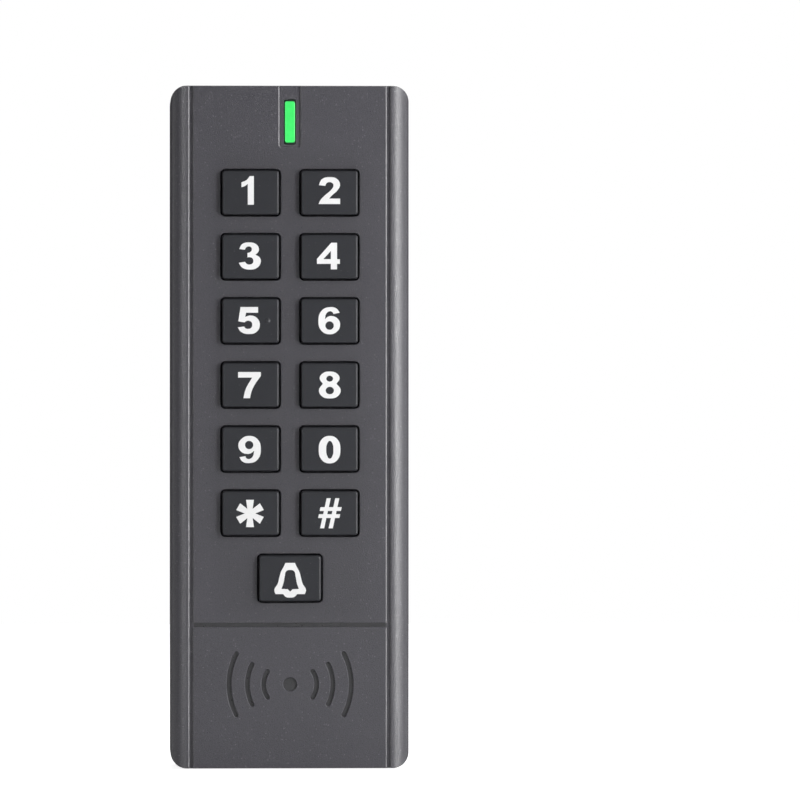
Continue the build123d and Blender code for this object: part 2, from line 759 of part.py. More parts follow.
def rear_cover():
    """Back plate of the sealed housing, with the battery bay and the wall screw pockets."""
    plate = RectangleRounded(2 * (cover_x - FIT), 2 * (cover_z - FIT), CORNER_RADIUS - RIM_WALL)
    cover = slab(plate, REAR_COVER_BACK, cover_front)
    wall = BAY_WALL
    bay = (bay_bottom - wall, bay_top + wall)
    blocks = [
        box((-bay_x - wall, bay_x + wall), bay, REAR_COVER_BACK, bay_floor_front),
        box((-5.0, 5.0), (door_ear_z - 4.2, bay_bottom), REAR_COVER_BACK, cover_front + 1.2),
        box((-7.2, 7.2), (bay_top, bay_top + 3.0), REAR_COVER_BACK, cover_front + 0.8),
        disc(2.4, 0, door_ear_z, REAR_COVER_BACK, cover_front + 5.2),
    ]
    cover = cover.fuse(*blocks, *head_pockets(1.0, REAR_COVER_BACK + HEAD_ROOM + 1.0))
    cuts = [screw_hole(x, z, SMALL_SHANK + 0.15, cover_front + 1.0) for x, z in cover_screws]
    cuts += [
        box((-bay_x, bay_x), (bay_bottom, bay_top), 0.0, bay_floor_back),
        slab(door_outline(0.0), 0.0, door_front + DOOR_SEAL),
        door_tongue(FIT),
        disc(SMALL_SHANK + THREAD_GAP, 0, door_ear_z, 0.0, cover_front + 4.2),
        disc(TAMPER_RADIUS + THREAD_GAP, TAMPER_X, tamper_z, 0.0, cover_front + 1),
    ]
    cuts += list(head_pockets(0.0, REAR_COVER_BACK + HEAD_ROOM))
    cuts += [lead_notch(x, z) for x, z in ((cell_x[0], bay_top), (cell_x[-1], bay_bottom))]
    return cover.cut(*cuts)


def lead_notch(x, z):
    """Slot in an end wall of the bay where a battery lead passes."""
    half = LEAD_RADIUS + 0.2
    through = (z - BAY_WALL - 0.5, z + BAY_WALL + 0.5)
    return box((x - half, x + half), through, lead_depth - half, bay_floor_back)


def tamper_window():
    """Clear plug that lets wall light reach the tamper sensor once the reader is lifted off."""
    return disc(TAMPER_RADIUS, TAMPER_X, tamper_z, REAR_COVER_BACK, cover_front)


def cover_seal():
    outer = RectangleRounded(2 * (cover_x - 2 * FIT), 2 * (cover_z - 2 * FIT), 1.2)
    inner = Rectangle(2 * cavity_x, 2 * cavity_z)
    width, height = POST_WIDTH, cavity_z - post_foot_z
    for sx, sz in ((-1, -1), (-1, 1), (1, -1), (1, 1)):
        corner = Pos(sx * (cavity_x - width / 2), sz * (cavity_z - height / 2))
        inner -= corner * Rectangle(width, height)
    seal = slab(outer - inner, cover_front, ledge)
    return seal.cut(*[disc(SMALL_SHANK + 0.3, x, z, 0.0, ledge + 1) for x, z in cover_screws])


def cover_screws_node():
    seat = REAR_COVER_BACK + SMALL_HEAD_HEIGHT + 0.05
    return group("cover_screws", [pan_screw(x, z, seat, 7.0) for x, z in cover_screws])


# ---- Battery door ------------------------------------------------------------------------------


def door_tongue(grow):
    top = bay_top + DOOR_LIP
    back, front = REAR_COVER_BACK + 0.6, door_front
    return box((-6.0 - grow, 6.0 + grow), (top - 1.0, top + 0.9 + grow), back - grow, front + grow)


def battery_door():
    door = slab(door_outline(FIT), REAR_COVER_BACK, door_front) + door_tongue(0.0)
    grips = [
        box((-5.0, 5.0), (z - 0.3, z + 0.3), 0.0, REAR_COVER_BACK + 0.35)
        for z in (bay_bottom + 4.0, bay_bottom + 5.6, bay_bottom + 7.2)
    ]
    seat = REAR_COVER_BACK + SMALL_HEAD_HEIGHT - 0.2
    hole = disc(SMALL_SHANK + 0.15, 0, door_ear_z, 0.0, door_front + 1)
    sink = disc(SMALL_HEAD + 0.15, 0, door_ear_z, 0.0, seat)
    return door.cut(hole, sink, *grips)


def door_screw():
    return pan_screw(0, door_ear_z, REAR_COVER_BACK + SMALL_HEAD_HEIGHT - 0.2, 4.6)


def door_seal():
    """Thin ring that the door squeezes onto the step round the bay."""
    lip = DOOR_LIP - 0.25
    outer = Pos(0, BAY_CENTRE_Z) * RectangleRounded(2 * (bay_x + lip), bay_length + 2 * lip, 0.6)
    inner = Pos(0, BAY_CENTRE_Z) * Rectangle(2 * bay_x + 0.1, bay_length + 0.1)
    return slab(outer - inner, door_front, door_front + DOOR_SEAL)


def cell_pad():
    """Foam strip inside the door that keeps the cells from rattling."""
    strip = (BAY_CENTRE_Z - 4, BAY_CENTRE_Z + 4)
    return box((-bay_x + 1, bay_x - 1), strip, door_front, cell_back)


# ---- Cells and contacts -----------------------------------------------------------------------------


def cell_span(up):
    """Bottom and top of a cell's can. The spring is at its minus end."""
    inner_bottom = bay_bottom + CONTACT_THICKNESS + FIT
    inner_top = bay_top - CONTACT_THICKNESS - FIT
    if up:
        return inner_top - CELL_NUB - CELL_LENGTH, inner_top - CELL_NUB
    return inner_bottom + CELL_NUB, inner_bottom + CELL_NUB + CELL_LENGTH


def rod(radius, x, low, high):
    return Pos(x, -cell_axis, low) * Cylinder(radius, high - low, align=FROM_BOTTOM)


def battery_cells():
    cells = []
    for x, up in zip(cell_x, cell_up):
        low, high = cell_span(up)
        can = rod(CELL_RADIUS, x, low, high)
        can = fillet(can.edges().filter_by(GeomType.CIRCLE), 0.5)
        nub = (high - 0.1, high + CELL_NUB) if up else (low - CELL_NUB, low + 0.1)
        cells.append(can + rod(CELL_NUB_RADIUS, x, *nub))
    return group("battery_cells", cells)


def contact_springs():
    """Tapered coil spring at each cell's minus end."""
    springs = []
    for x, up in zip(cell_x, cell_up):
        low, high = cell_span(up)
        coil = 2 * SPRING_WIRE
        start = bay_bottom + CONTACT_THICKNESS + SPRING_WIRE + 0.02
        length = low - start - coil
        path = Helix(length / SPRING_TURNS, length, SPRING_RADIUS, cone_angle=-12)
        ring = Plane(path @ 0, z_dir=path % 0) * Circle(SPRING_WIRE)
        spring = sweep(ring, path)
        if up:
            springs.append(Pos(x, -cell_axis, start) * spring)
        else:
            springs.append(Pos(x, -cell_axis, bay_top + bay_bottom - start) * Rot(180, 0, 0) * spring)
    return group("contact_springs", springs)


def contact_plates():
    """Nickel plates on the two end walls of the bay. A wide one joins two neighbouring cells."""
    half = CELL_RADIUS - 0.8
    depths = (cell_axis - 4.0, cell_axis + 4.0)
    plates = []
    ends = ((bay_bottom, ((0, 1), (2, 2))), (bay_top - CONTACT_THICKNESS, ((0, 0), (1, 2))))
    for z, spans in ends:
        thick = (z, z + CONTACT_THICKNESS)
        for first, last in spans:
            plate = box((cell_x[first] - half, cell_x[last] + half), thick, *depths)
            if first == last:
                tail = (cell_x[first] - TAIL_WIDTH / 2, cell_x[first] + TAIL_WIDTH / 2)
                plate += box(tail, thick, depths[1] - 0.5, bay_floor_back - 0.3)
            plates.append(plate)
    return group("contact_plates", plates)


# ---- Battery leads ---------------------------------------------------------------------------------


def lead_socket():
    """Two-pin header on the board's back."""
    x, z = PLUG_X, plug_z
    block = box((x - 3.2, x + 3.2), (z + 1.2, z + 4.6), board_back - 2.6, board_back)
    return block - box((x - 2.6, x + 2.6), (z, z + 4.0), board_back - 2.2, board_back - 0.4)


def lead_plug():
    x, z = PLUG_X, plug_z
    plug = box((x - 2.5, x + 2.5), (z, z + 4.0), board_back - 2.1, board_back - 0.5)
    wires = [Pos(x + s, -plug_depth, z) * Cylinder(LEAD_RADIUS, 2.0) for s in (-PLUG_PITCH / 2, PLUG_PITCH / 2)]
    return plug.cut(*wires)


def wire(points):
    """An insulated wire along (x, depth, z) points, with its bends rounded."""
    path = FilletPolyline([(x, -d, z) for x, d, z in points], radius=0.8)
    return sweep(Plane(path @ 0, z_dir=path % 0) * Circle(LEAD_RADIUS), path)


def lead_plus():
    """From the plus contact at the top of the first cell, across to the plug."""
    start, end = cell_x[0], PLUG_X - PLUG_PITCH / 2
    shelf = bay_top + BAY_WALL + 1.6
    return wire(
        [
            (start, lead_depth, bay_top),
            (start, lead_depth, shelf),
            (end, plug_depth, shelf),
            (end, plug_depth, plug_z + 1.0),
        ]
    )


def lead_minus():
    """From the minus contact at the foot of the last cell, up beside the bay to the plug."""
    start, end = cell_x[-1], PLUG_X + PLUG_PITCH / 2
    side = (bay_x + BAY_WALL + cavity_x) / 2
    low = bay_bottom - BAY_WALL - 1.2
    shelf = bay_top + BAY_WALL + 1.6
    return wire(
        [
            (start, lead_depth, bay_bottom),
            (start, lead_depth, low),
            (side, lead_depth, low),
            (side, lead_depth, shelf),
            (end, plug_depth, shelf),
            (end, plug_depth, plug_z + 1.0),
        ]
    )


# ---- Wall plate --------------------------------------------------------------------------------------


def wall_plate():
    half_x, half_z = recess_x - PLATE_GAP, cover_z - FIT
    plate = slab(RectangleRounded(2 * half_x, 2 * half_z, 1.5), 0.0, SHEET)
    for side in (-1, 1):
        z = side * SLOT_SPACING / 2
        slot = Pos(0, z) * Rot(0, 0, 90) * SlotOverall(SLOT_LENGTH, 2 * SLOT_RADIUS)
        plate -= slab(slot, -1.0, SHEET + 1.0)
        window = Pos(0, side * WINDOW_OFFSET) * RectangleRounded(WINDOW_WIDTH, WINDOW_HEIGHT, 2.0)
        plate -= slab(window, -1.0, SHEET + 1.0)
        plate += hook(side * HOOK_OFFSET)
    plate -= disc(TAMPER_RADIUS, TAMPER_X, tamper_z, -1.0, SHEET + 1.0)
    return plate + lock_tab()


def hook(x):
    """A joggled hook on the top edge: forward past the plate, then up behind the body's top wall."""
    root = cover_z - FIT - 1.0
    leg = root + 1.0
    up_back = REAR_COVER_BACK + 0.1
    points = [
        (root, 0.0),
        (leg + SHEET, 0.0),
        (leg + SHEET, up_back),
        (recess_z + HOOK_BITE, up_back),
        (recess_z + HOOK_BITE, up_back + SHEET),
        (leg + FIT, up_back + SHEET),
        (leg + FIT, SHEET),
        (root, SHEET),
    ]
    bent = along_x(points, x - HOOK_WIDTH / 2, x + HOOK_WIDTH / 2)
    corners = [
        e
        for e in bent.edges().filter_by(Axis.X)
        if abs(e.center().Z - leg - SHEET) < 1e-6 and abs(e.center().Y) < 1e-6
    ]
    return fillet(corners, BEND_RADIUS)


def lock_tab():
    """The tab on the bottom edge, bent forward, that the security screw pulls on."""
    face = recess_z - 0.3
    points = [
        (-cover_z + FIT + 1.0, 0.0),
        (-face, 0.0),
        (-face, TAB_DEPTH),
        (-face + SHEET, TAB_DEPTH),
        (-face + SHEET, SHEET),
        (-cover_z + FIT + 1.0, SHEET),
    ]
    tab = along_x(points, -TAB_WIDTH / 2, TAB_WIDTH / 2)
    corner = [
        e
        for e in tab.edges().filter_by(Axis.X)
        if abs(e.center().Z + face) < 1e-6 and abs(e.center().Y) < 1e-6
    ]
    tab = fillet(corner, BEND_RADIUS)
    return tab - Pos(0, -LOCK_DEPTH, -face) * Cylinder(LOCK_SHANK + THREAD_GAP, 4 * SHEET)


def security_screw():
    """Countersunk screw with a hexagon socket, driven up from below."""
    low = -half_height + 0.12
    head = Cone(LOCK_HEAD, LOCK_SHANK, LOCK_HEAD_HEIGHT, align=FROM_BOTTOM)
    shank = Cylinder(LOCK_SHANK, LOCK_LENGTH, align=FROM_BOTTOM)
    socket = extrude(RegularPolygon(HEX_KEY, 6), amount=0.9)
    return Pos(0, -LOCK_DEPTH, low) * (head + shank - socket)


# ---- Write every node ------------------------------------------------------------------------------


def main():
    nodes = {
        "front_cover": front_cover(),
        "indicator_lens": indicator_lens(),
        "key_mat": key_mat(),
        "main_board": main_board(),
        "contact_pads": contact_pads(),
        "status_led": status_led(),
        "backlight_leds": backlight_leds(),
        "controller_chip": controller_chip(),
        "reader_chip": reader_chip(),
        "radio_module": radio_module(),
        "radio_shield": radio_shield(),
        "buzzer": buzzer(),
        "board_parts": board_parts(),
        "tamper_sensor": tamper_sensor(),
        "board_screws": board_screws(),
        "antenna_coil": antenna_coil(),
        "antenna_tail": antenna_tail(),
        "rear_cover": rear_cover(),
        "tamper_window": tamper_window(),
        "cover_seal": cover_seal(),
        "cover_screws": cover_screws_node(),
        "battery_door": battery_door(),
        "door_screw": door_screw(),
        "door_seal": door_seal(),
        "cell_pad": cell_pad(),
        "battery_cells": battery_cells(),
        "contact_springs": contact_springs(),
        "contact_plates": contact_plates(),
        "lead_socket": lead_socket(),
        "lead_plug": lead_plug(),
        "lead_plus": lead_plus(),
        "lead_minus": lead_minus(),
        "wall_plate": wall_plate(),
        "security_screw": security_screw(),
    }
    for name, x, z, width, height in key_sizes():
        nodes[f"key_{name}"] = key_cap(x, z, width, height, name == PIP_KEY)
    os.makedirs("parts", exist_ok=True)
    for name, shape in nodes.items():
        export_step(shape, f"parts/{name}.step")


main()
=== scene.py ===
# %% [markdown]
# # A keypad and card reader
#
# The reader is a slim box that hangs on the wall beside a door. Its front is one dark grey
# moulding with thirteen black keys, a green light bar and an engraved card mark. Inside are a
# silicone key mat, a circuit board, a card antenna and three AAA cells.
#
# The CAD model gives the exact frame of every hard piece, so this lesson starts by loading it.
# Nothing in it is moved or reshaped. The lesson adds the printed legends, the soft pieces and
# the windings, and then gives every piece a finish that is built from shader nodes.

import json
import math

import bpy
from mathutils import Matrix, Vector


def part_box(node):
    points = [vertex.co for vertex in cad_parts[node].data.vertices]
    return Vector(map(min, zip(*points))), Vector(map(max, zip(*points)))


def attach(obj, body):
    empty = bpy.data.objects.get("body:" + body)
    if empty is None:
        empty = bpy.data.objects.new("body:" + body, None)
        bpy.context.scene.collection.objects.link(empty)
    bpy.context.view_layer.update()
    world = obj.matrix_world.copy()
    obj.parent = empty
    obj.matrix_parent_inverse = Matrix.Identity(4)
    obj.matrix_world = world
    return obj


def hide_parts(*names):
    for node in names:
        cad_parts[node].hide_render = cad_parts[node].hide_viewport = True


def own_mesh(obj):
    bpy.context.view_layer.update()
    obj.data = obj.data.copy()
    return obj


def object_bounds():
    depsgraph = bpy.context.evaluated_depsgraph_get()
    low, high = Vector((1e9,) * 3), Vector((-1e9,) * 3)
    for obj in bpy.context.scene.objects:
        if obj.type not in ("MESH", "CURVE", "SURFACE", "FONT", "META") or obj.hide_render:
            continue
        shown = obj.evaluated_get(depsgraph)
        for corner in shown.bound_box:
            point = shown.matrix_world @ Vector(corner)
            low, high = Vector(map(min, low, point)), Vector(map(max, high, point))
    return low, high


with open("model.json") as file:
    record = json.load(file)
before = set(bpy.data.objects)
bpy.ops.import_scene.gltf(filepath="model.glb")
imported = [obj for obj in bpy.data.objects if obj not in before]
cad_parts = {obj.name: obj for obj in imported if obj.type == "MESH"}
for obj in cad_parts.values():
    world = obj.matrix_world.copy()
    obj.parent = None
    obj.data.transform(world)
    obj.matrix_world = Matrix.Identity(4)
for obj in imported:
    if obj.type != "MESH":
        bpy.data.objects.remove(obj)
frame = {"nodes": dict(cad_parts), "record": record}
cad_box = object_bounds()
nodes = frame["nodes"]
MM = 0.001
print("loaded", len(nodes), "pieces; box in mm", [[round(v / MM, 2) for v in c] for c in cad_box])

# %% [markdown]
# ## Reading places from the frame
#
# A key's place is the middle of its box, and the plane of its face is the box's lowest y. The
# front of the reader looks along -y, so a smaller y is nearer to the viewer. Depths are easier to
# think about when they are measured out from the wall, so a small helper turns them round.

# %% Places of the keys
def depth(mm):
    """The y of a plane that is so many millimetres out from the wall."""
    return -mm * MM


def middle(node):
    low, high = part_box(node)
    return (low + high) / 2


key_names = ["1", "2", "3", "4", "5", "6", "7", "8", "9", "0", "star", "hash", "bell"]
key_at = {name: middle("key_" + name) for name in key_names}
key_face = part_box("key_1")[0].y
front_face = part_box("front_cover")[0].y
print("key faces stand", round((front_face - key_face) / MM, 2), "mm out of the front")

# %% [markdown]
# ## A few tools for making pieces
#
# Blender's operators act on whatever is selected, and the loaded frame arrives selected. Every
# piece therefore starts from an empty selection. When a piece is finished, its place is applied
# to its mesh, doubles are merged, its faces are turned outwards, and it is told which body of the
# frame it rides on. Each piece is also given one material.

# %% Tools for pieces
def start_clean():
    """Leaves edit mode and selects nothing."""
    if bpy.context.object and bpy.context.object.mode != "OBJECT":
        bpy.ops.object.mode_set(mode="OBJECT")
    bpy.ops.object.select_all(action="DESELECT")


def take(piece):
    """Makes one piece the only selected and the active one."""
    start_clean()
    piece.select_set(True)
    bpy.context.view_layer.objects.active = piece
    return piece


def apply_all(piece):
    """Applies every modifier of a piece, first to last."""
    take(piece)
    for modifier in list(piece.modifiers):
        bpy.ops.object.modifier_apply(modifier=modifier.name)


CLOSE = 1e-7  # two points no further apart than this are the same point


def settle(piece, name, body):
    """Puts a piece's place in its mesh, closes its seams and hangs it on its body."""
    piece.name = piece.data.name = name
    take(piece)
    bpy.ops.object.transform_apply(location=True, rotation=True, scale=True)
    bpy.ops.object.mode_set(mode="EDIT")
    bpy.ops.mesh.select_all(action="SELECT")
    bpy.ops.mesh.remove_doubles(threshold=CLOSE)
    bpy.ops.mesh.normals_make_consistent(inside=False)
    bpy.ops.object.mode_set(mode="OBJECT")
    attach(piece, body)
    return piece


# %% [markdown]
# ## Shared finish: moulded grain
#
# The housing is a plastic with a fine spark-eroded grain, and it has pale flecks in it that
# catch the light. The grain is a noise a few tenths of a millimetre across. The flecks are the
# middles of Voronoi cells, and only the few cells whose random number is high enough keep theirs,
# so that they look scattered. A second, broad noise makes the tone drift a little over the piece,
# as real mouldings do. All of it goes in one group, because most of the plastics here share it
# with other sizes and strengths.

# %% Tools for shader groups
def new_group(name, inputs, outputs):
    """An empty shader group with named sockets. An input is (name, kind, default)."""
    group = bpy.data.node_groups.new(name, "ShaderNodeTree")
    for label, kind, default in inputs:
        socket = group.interface.new_socket(label, in_out="INPUT", socket_type="NodeSocket" + kind)
        socket.default_value = default
    for label, kind in outputs:
        group.interface.new_socket(label, in_out="OUTPUT", socket_type="NodeSocket" + kind)
    return group, group.nodes.new("NodeGroupInput"), group.nodes.new("NodeGroupOutput")


def node(tree, kind, **properties):
    """A new node with some of its properties set."""
    made = tree.nodes.new("ShaderNode" + kind)
    for key, value in properties.items():
        setattr(made, key, value)
    return made


def sums(tree, operation, a, b=None, c=None, clamp=False):
    """A Math node. Each of a, b and c is a number or a socket to link."""
    made = node(tree, "Math", operation=operation, use_clamp=clamp)
    for socket, value in zip(made.inputs, (a, b, c)):
        put(tree, socket, value)
    return made.outputs[0]


def put(tree, socket, value):
    """Fills a socket with a number or colour, or links another socket to it."""
    if isinstance(value, bpy.types.NodeSocket):
        tree.links.new(value, socket)
    elif value is not None:
        socket.default_value = value


def blend_colour(tree, share, first, second, mode="MIX"):
    """A colour that goes from first to second as share goes from 0 to 1."""
    made = node(tree, "Mix", data_type="RGBA", blend_type=mode)
    put(tree, made.inputs["Factor"], share)
    put(tree, made.inputs[6], first)
    put(tree, made.inputs[7], second)
    return made.outputs[2]


def blend_value(tree, share, first, second):
    """A number that goes from first to second as share goes from 0 to 1."""
    made = node(tree, "Mix", data_type="FLOAT")
    for socket, value in zip(made.inputs[:4], (share, None, first, second)):
        put(tree, socket, value)
    return made.outputs[0]


def place_on(tree, stretch=(1, 1, 1)):
    """Object coordinates, stretched so that a pattern can be longer one way than another."""
    mapping = node(tree, "Mapping")
    mapping.inputs["Scale"].default_value = stretch
    tree.links.new(node(tree, "TexCoord").outputs["Object"], mapping.inputs["Vector"])
    return mapping.outputs["Vector"]


def noise(tree, place, scale, detail=2.0, roughness=0.5):
    made = node(tree, "TexNoise")
    put(tree, made.inputs["Vector"], place)
    put(tree, made.inputs["Scale"], scale)
    made.inputs["Detail"].default_value = detail
    made.inputs["Roughness"].default_value = roughness
    return made.outputs["Fac"]


def remap(tree, value, low, high, to_low=0.0, to_high=1.0):
    """Stretches the span low..high to to_low..to_high and cuts off the rest."""
    made = node(tree, "MapRange")
    for socket, number in zip(made.inputs[:5], (value, low, high, to_low, to_high)):
        put(tree, socket, number)
    return made.outputs[0]


# %% Moulded grain group
def make_grain():
    group, into, out = new_group(
        "moulded_grain",
        [
            ("Colour", "Color", (0.1, 0.1, 0.1, 1)),
            ("Fleck Colour", "Color", (0.5, 0.5, 0.5, 1)),
            ("Grains per mm", "Float", 3.0),
            ("Grain Contrast", "Float", 0.3),
            ("Fleck Share", "Float", 0.05),
            ("Drift", "Float", 0.05),
            ("Roughness", "Float", 0.5),
        ],
        [("Colour", "Color"), ("Roughness", "Float"), ("Height", "Float")],
    )
    place = place_on(group)
    per_metre = sums(group, "MULTIPLY", into.outputs["Grains per mm"], 1000.0)
    grain = remap(group, noise(group, place, per_metre, 3.0, 0.65), 0.3, 0.7)
    broad = remap(group, noise(group, place, 60.0, 2.0), 0.3, 0.7, -1.0, 1.0)

    cells = node(group, "TexVoronoi")
    put(group, cells.inputs["Vector"], place)
    put(group, cells.inputs["Scale"], sums(group, "MULTIPLY", per_metre, 0.62))
    chance = node(group, "SeparateColor")
    put(group, chance.inputs[0], cells.outputs["Color"])
    chosen = sums(group, "LESS_THAN", chance.outputs[0], into.outputs["Fleck Share"])
    dot = remap(group, cells.outputs["Distance"], 0.22, 0.42, 1.0, 0.0)
    strength = remap(group, chance.outputs[1], 0.0, 1.0, 0.25, 1.0)
    fleck = sums(group, "MULTIPLY", sums(group, "MULTIPLY", chosen, dot), strength)

    swing = sums(group, "MULTIPLY", sums(group, "SUBTRACT", grain, 0.5), into.outputs["Grain Contrast"])
    drift = sums(group, "MULTIPLY", broad, into.outputs["Drift"])
    tone = sums(group, "ADD", sums(group, "ADD", swing, drift), 1.0)
    toned = node(group, "VectorMath", operation="SCALE")
    put(group, toned.inputs[0], into.outputs["Colour"])
    put(group, toned.inputs["Scale"], tone)
    colour = blend_colour(group, fleck, toned.outputs[0], into.outputs["Fleck Colour"])
    rough = sums(group, "MULTIPLY_ADD", swing, -0.35, into.outputs["Roughness"])
    rough = sums(group, "MULTIPLY_ADD", fleck, -0.25, rough, clamp=True)
    height = sums(group, "MULTIPLY_ADD", fleck, 0.3, grain)
    put(group, out.inputs["Colour"], colour)
    put(group, out.inputs["Roughness"], rough)
    put(group, out.inputs["Height"], height)
    return group


GRAIN = make_grain()
print("grain group has", len(GRAIN.nodes), "nodes")

# %% [markdown]
# ## Shared finish: worn edges with painted highlights, and dust
#
# Hands and cleaning cloths polish the edges of a moulding first. The Bevel node gives the normal
# as if the edges were rounded, so where it differs from the true normal there is an edge. The
# same edge mask also paints highlights, pale lines where a rounded edge would catch the light.
# Dust settles on faces that look up and stays in a thin veil, so its mask is the normal's z part
# broken up by a noise. The reader is new, so the dust is very weak, and the thin pale lines along
# the edges of its front are painted highlights.

# %% Edge wear and painted highlight group
def make_edge_wear_and_highlight():
    group, into, out = new_group(
        "edge_wear_and_highlight",
        [("Reach", "Float", 0.0003), ("Amount", "Float", 0.5)],
        [("Mask", "Float")],
    )
    bevel = node(group, "Bevel", samples=4)
    put(group, bevel.inputs["Radius"], into.outputs["Reach"])
    true = node(group, "NewGeometry")
    same = node(group, "VectorMath", operation="DOT_PRODUCT")
    put(group, same.inputs[0], bevel.outputs["Normal"])
    put(group, same.inputs[1], true.outputs["Normal"])
    # The edge mask: it gives both rubbed wear and a painted highlight along edges.
    edge = remap(group, same.outputs["Value"], 0.995, 0.86)
    worn_and_lit = remap(group, noise(group, place_on(group), 900.0, 4.0, 0.6), 0.35, 0.6)
    mask = sums(group, "MULTIPLY", sums(group, "MULTIPLY", edge, worn_and_lit), into.outputs["Amount"])
    put(group, out.inputs["Mask"], mask)
    return group


EDGE_WEAR_AND_HIGHLIGHT = make_edge_wear_and_highlight()


# %% Dust group
def make_dust():
    group, into, out = new_group("dust", [("Amount", "Float", 0.1)], [("Mask", "Float")])
    true = node(group, "NewGeometry")
    parts = node(group, "SeparateXYZ")
    put(group, parts.inputs[0], true.outputs["Normal"])
    up = remap(group, parts.outputs["Z"], 0.2, 1.0)
    patch = remap(group, noise(group, place_on(group), 350.0, 5.0, 0.7), 0.35, 0.75)
    veil = sums(group, "MULTIPLY_ADD", up, 0.85, 0.15)
    mask = sums(group, "MULTIPLY", sums(group, "MULTIPLY", veil, patch), into.outputs["Amount"])
    put(group, out.inputs["Mask"], mask)
    return group


DUST = make_dust()
print("edge wear and dust groups made")


# %% [markdown]
# ## Plastics
#
# A helper builds one moulded plastic: grain, then the rubbed edges, which also carry a painted
# edge highlight, then the dust, and a bump from the grain's height. Numbers that are the same all
# over go straight on the shader.

# %% Tool for moulded plastics
DUST_GREY = (0.45, 0.43, 0.40, 1)


def use(tree, group, **values):
    """Places a shared group in a material and fills its inputs."""
    made = tree.nodes.new("ShaderNodeGroup")
    made.node_tree = group
    for key, value in values.items():
        put(tree, made.inputs[key.replace("_", " ")], value)
    return made.outputs


def new_material(name, **sockets):
    """A material with its Principled shader. Sockets give the shader's constant inputs."""
    material = bpy.data.materials.new(name)
    material.use_nodes = True
    shader = material.node_tree.nodes["Principled BSDF"]
    for key, value in sockets.items():
        shader.inputs[key.replace("_", " ")].default_value = value
    return material, material.node_tree, shader


def bump(tree, shader, height, strength, distance):
    made = node(tree, "Bump")
    made.inputs["Strength"].default_value = strength
    made.inputs["Distance"].default_value = distance
    put(tree, made.inputs["Height"], height)
    put(tree, shader.inputs["Normal"], made.outputs["Normal"])


def moulded(name, colour, fleck, grains, contrast, share, roughness, relief=0.00002,
            wear_and_highlight=0.2, dust=0.03, drift=0.05, worn_and_lit_colour=None, wear_and_highlight_reach=0.00025, **sockets):
    """A moulded plastic with grain, flecks, rubbed edges with a painted highlight and a little dust."""
    material, tree, shader = new_material(name, **sockets)
    grain = use(tree, GRAIN, Colour=(*colour, 1), Fleck_Colour=(*fleck, 1), Grains_per_mm=grains,
                Grain_Contrast=contrast, Fleck_Share=share, Drift=drift, Roughness=roughness)
    worn_and_lit = use(tree, EDGE_WEAR_AND_HIGHLIGHT, Reach=wear_and_highlight_reach, Amount=wear_and_highlight)
    settled = use(tree, DUST, Amount=dust)
    # Pale edge colour: rubbed wear, and a painted highlight where an edge would catch the light.
    shown = blend_colour(tree, worn_and_lit["Mask"], grain["Colour"], (*(worn_and_lit_colour or fleck), 1))
    shown = blend_colour(tree, settled["Mask"], shown, DUST_GREY)
    put(tree, shader.inputs["Base Color"], shown)
    dulled = sums(tree, "MULTIPLY_ADD", settled["Mask"], 0.3, grain["Roughness"])
    put(tree, shader.inputs["Roughness"], dulled)
    bump(tree, shader, grain["Height"], 0.6, relief)
    return material


# %% The plastics
# The housing's strong pale edge colour is a painted highlight along its edges and grooves.
housing = moulded("housing grey", (0.0365, 0.0348, 0.0445), (0.20, 0.195, 0.22), 4.2, 0.8, 0.08, 0.39,
                  relief=0.00003, wear_and_highlight=0.8, worn_and_lit_colour=(0.16, 0.157, 0.17), wear_and_highlight_reach=0.0002,
                  Specular_IOR_Level=1.0)
keys = moulded("key black", (0.0162, 0.0172, 0.0215), (0.06, 0.06, 0.065), 5.0, 0.25, 0.02, 0.44,
               relief=0.00001, worn_and_lit_colour=(0.06, 0.06, 0.065), wear_and_highlight=0.35, Specular_IOR_Level=0.45)
black = moulded("rear cover black", (0.020, 0.020, 0.022), (0.05, 0.05, 0.05), 4.0, 0.5, 0.03, 0.5)
chips = moulded("chip epoxy", (0.016, 0.016, 0.017), (0.06, 0.06, 0.06), 9.0, 0.5, 0.04, 0.55)
nylon = moulded("white nylon", (0.78, 0.77, 0.72), (0.9, 0.9, 0.88), 5.0, 0.06, 0.02, 0.38)
print("plastics:", [m.name for m in (housing, keys, black, chips, nylon)])

# %% [markdown]
# ## Shared finish: painted shade
#
# The engraved mark, the grooves and the key openings lie in shade, so anything on the front that
# lies deeper than the face is painted darker: painted shade in the recesses. The cheeks slope away
# from the face too, so the mask stops short of them, and it leaves out the channel round the light
# bar, which stays unshaded. A slight dark veil is also painted round the keys, a painted shadow of
# the standing keys, which fades out across and up from the keypad's middle.

# %% Painted shade group
# Colour of the painted shade in the recesses and round the keys.
PAINTED_SHADE = (0.009, 0.009, 0.011, 1)
PAINTED_SHADE_TOP = key_at["1"].z + 5.5 * MM
PAINTED_SHADE_FROM, PAINTED_SHADE_FULL = 0.08 * MM, 0.25 * MM  # depths behind the face
HALO_FROM, HALO_END = 12.5 * MM, 16.0 * MM  # distances to the side of the middle
HALO_MARGIN = 5 * MM


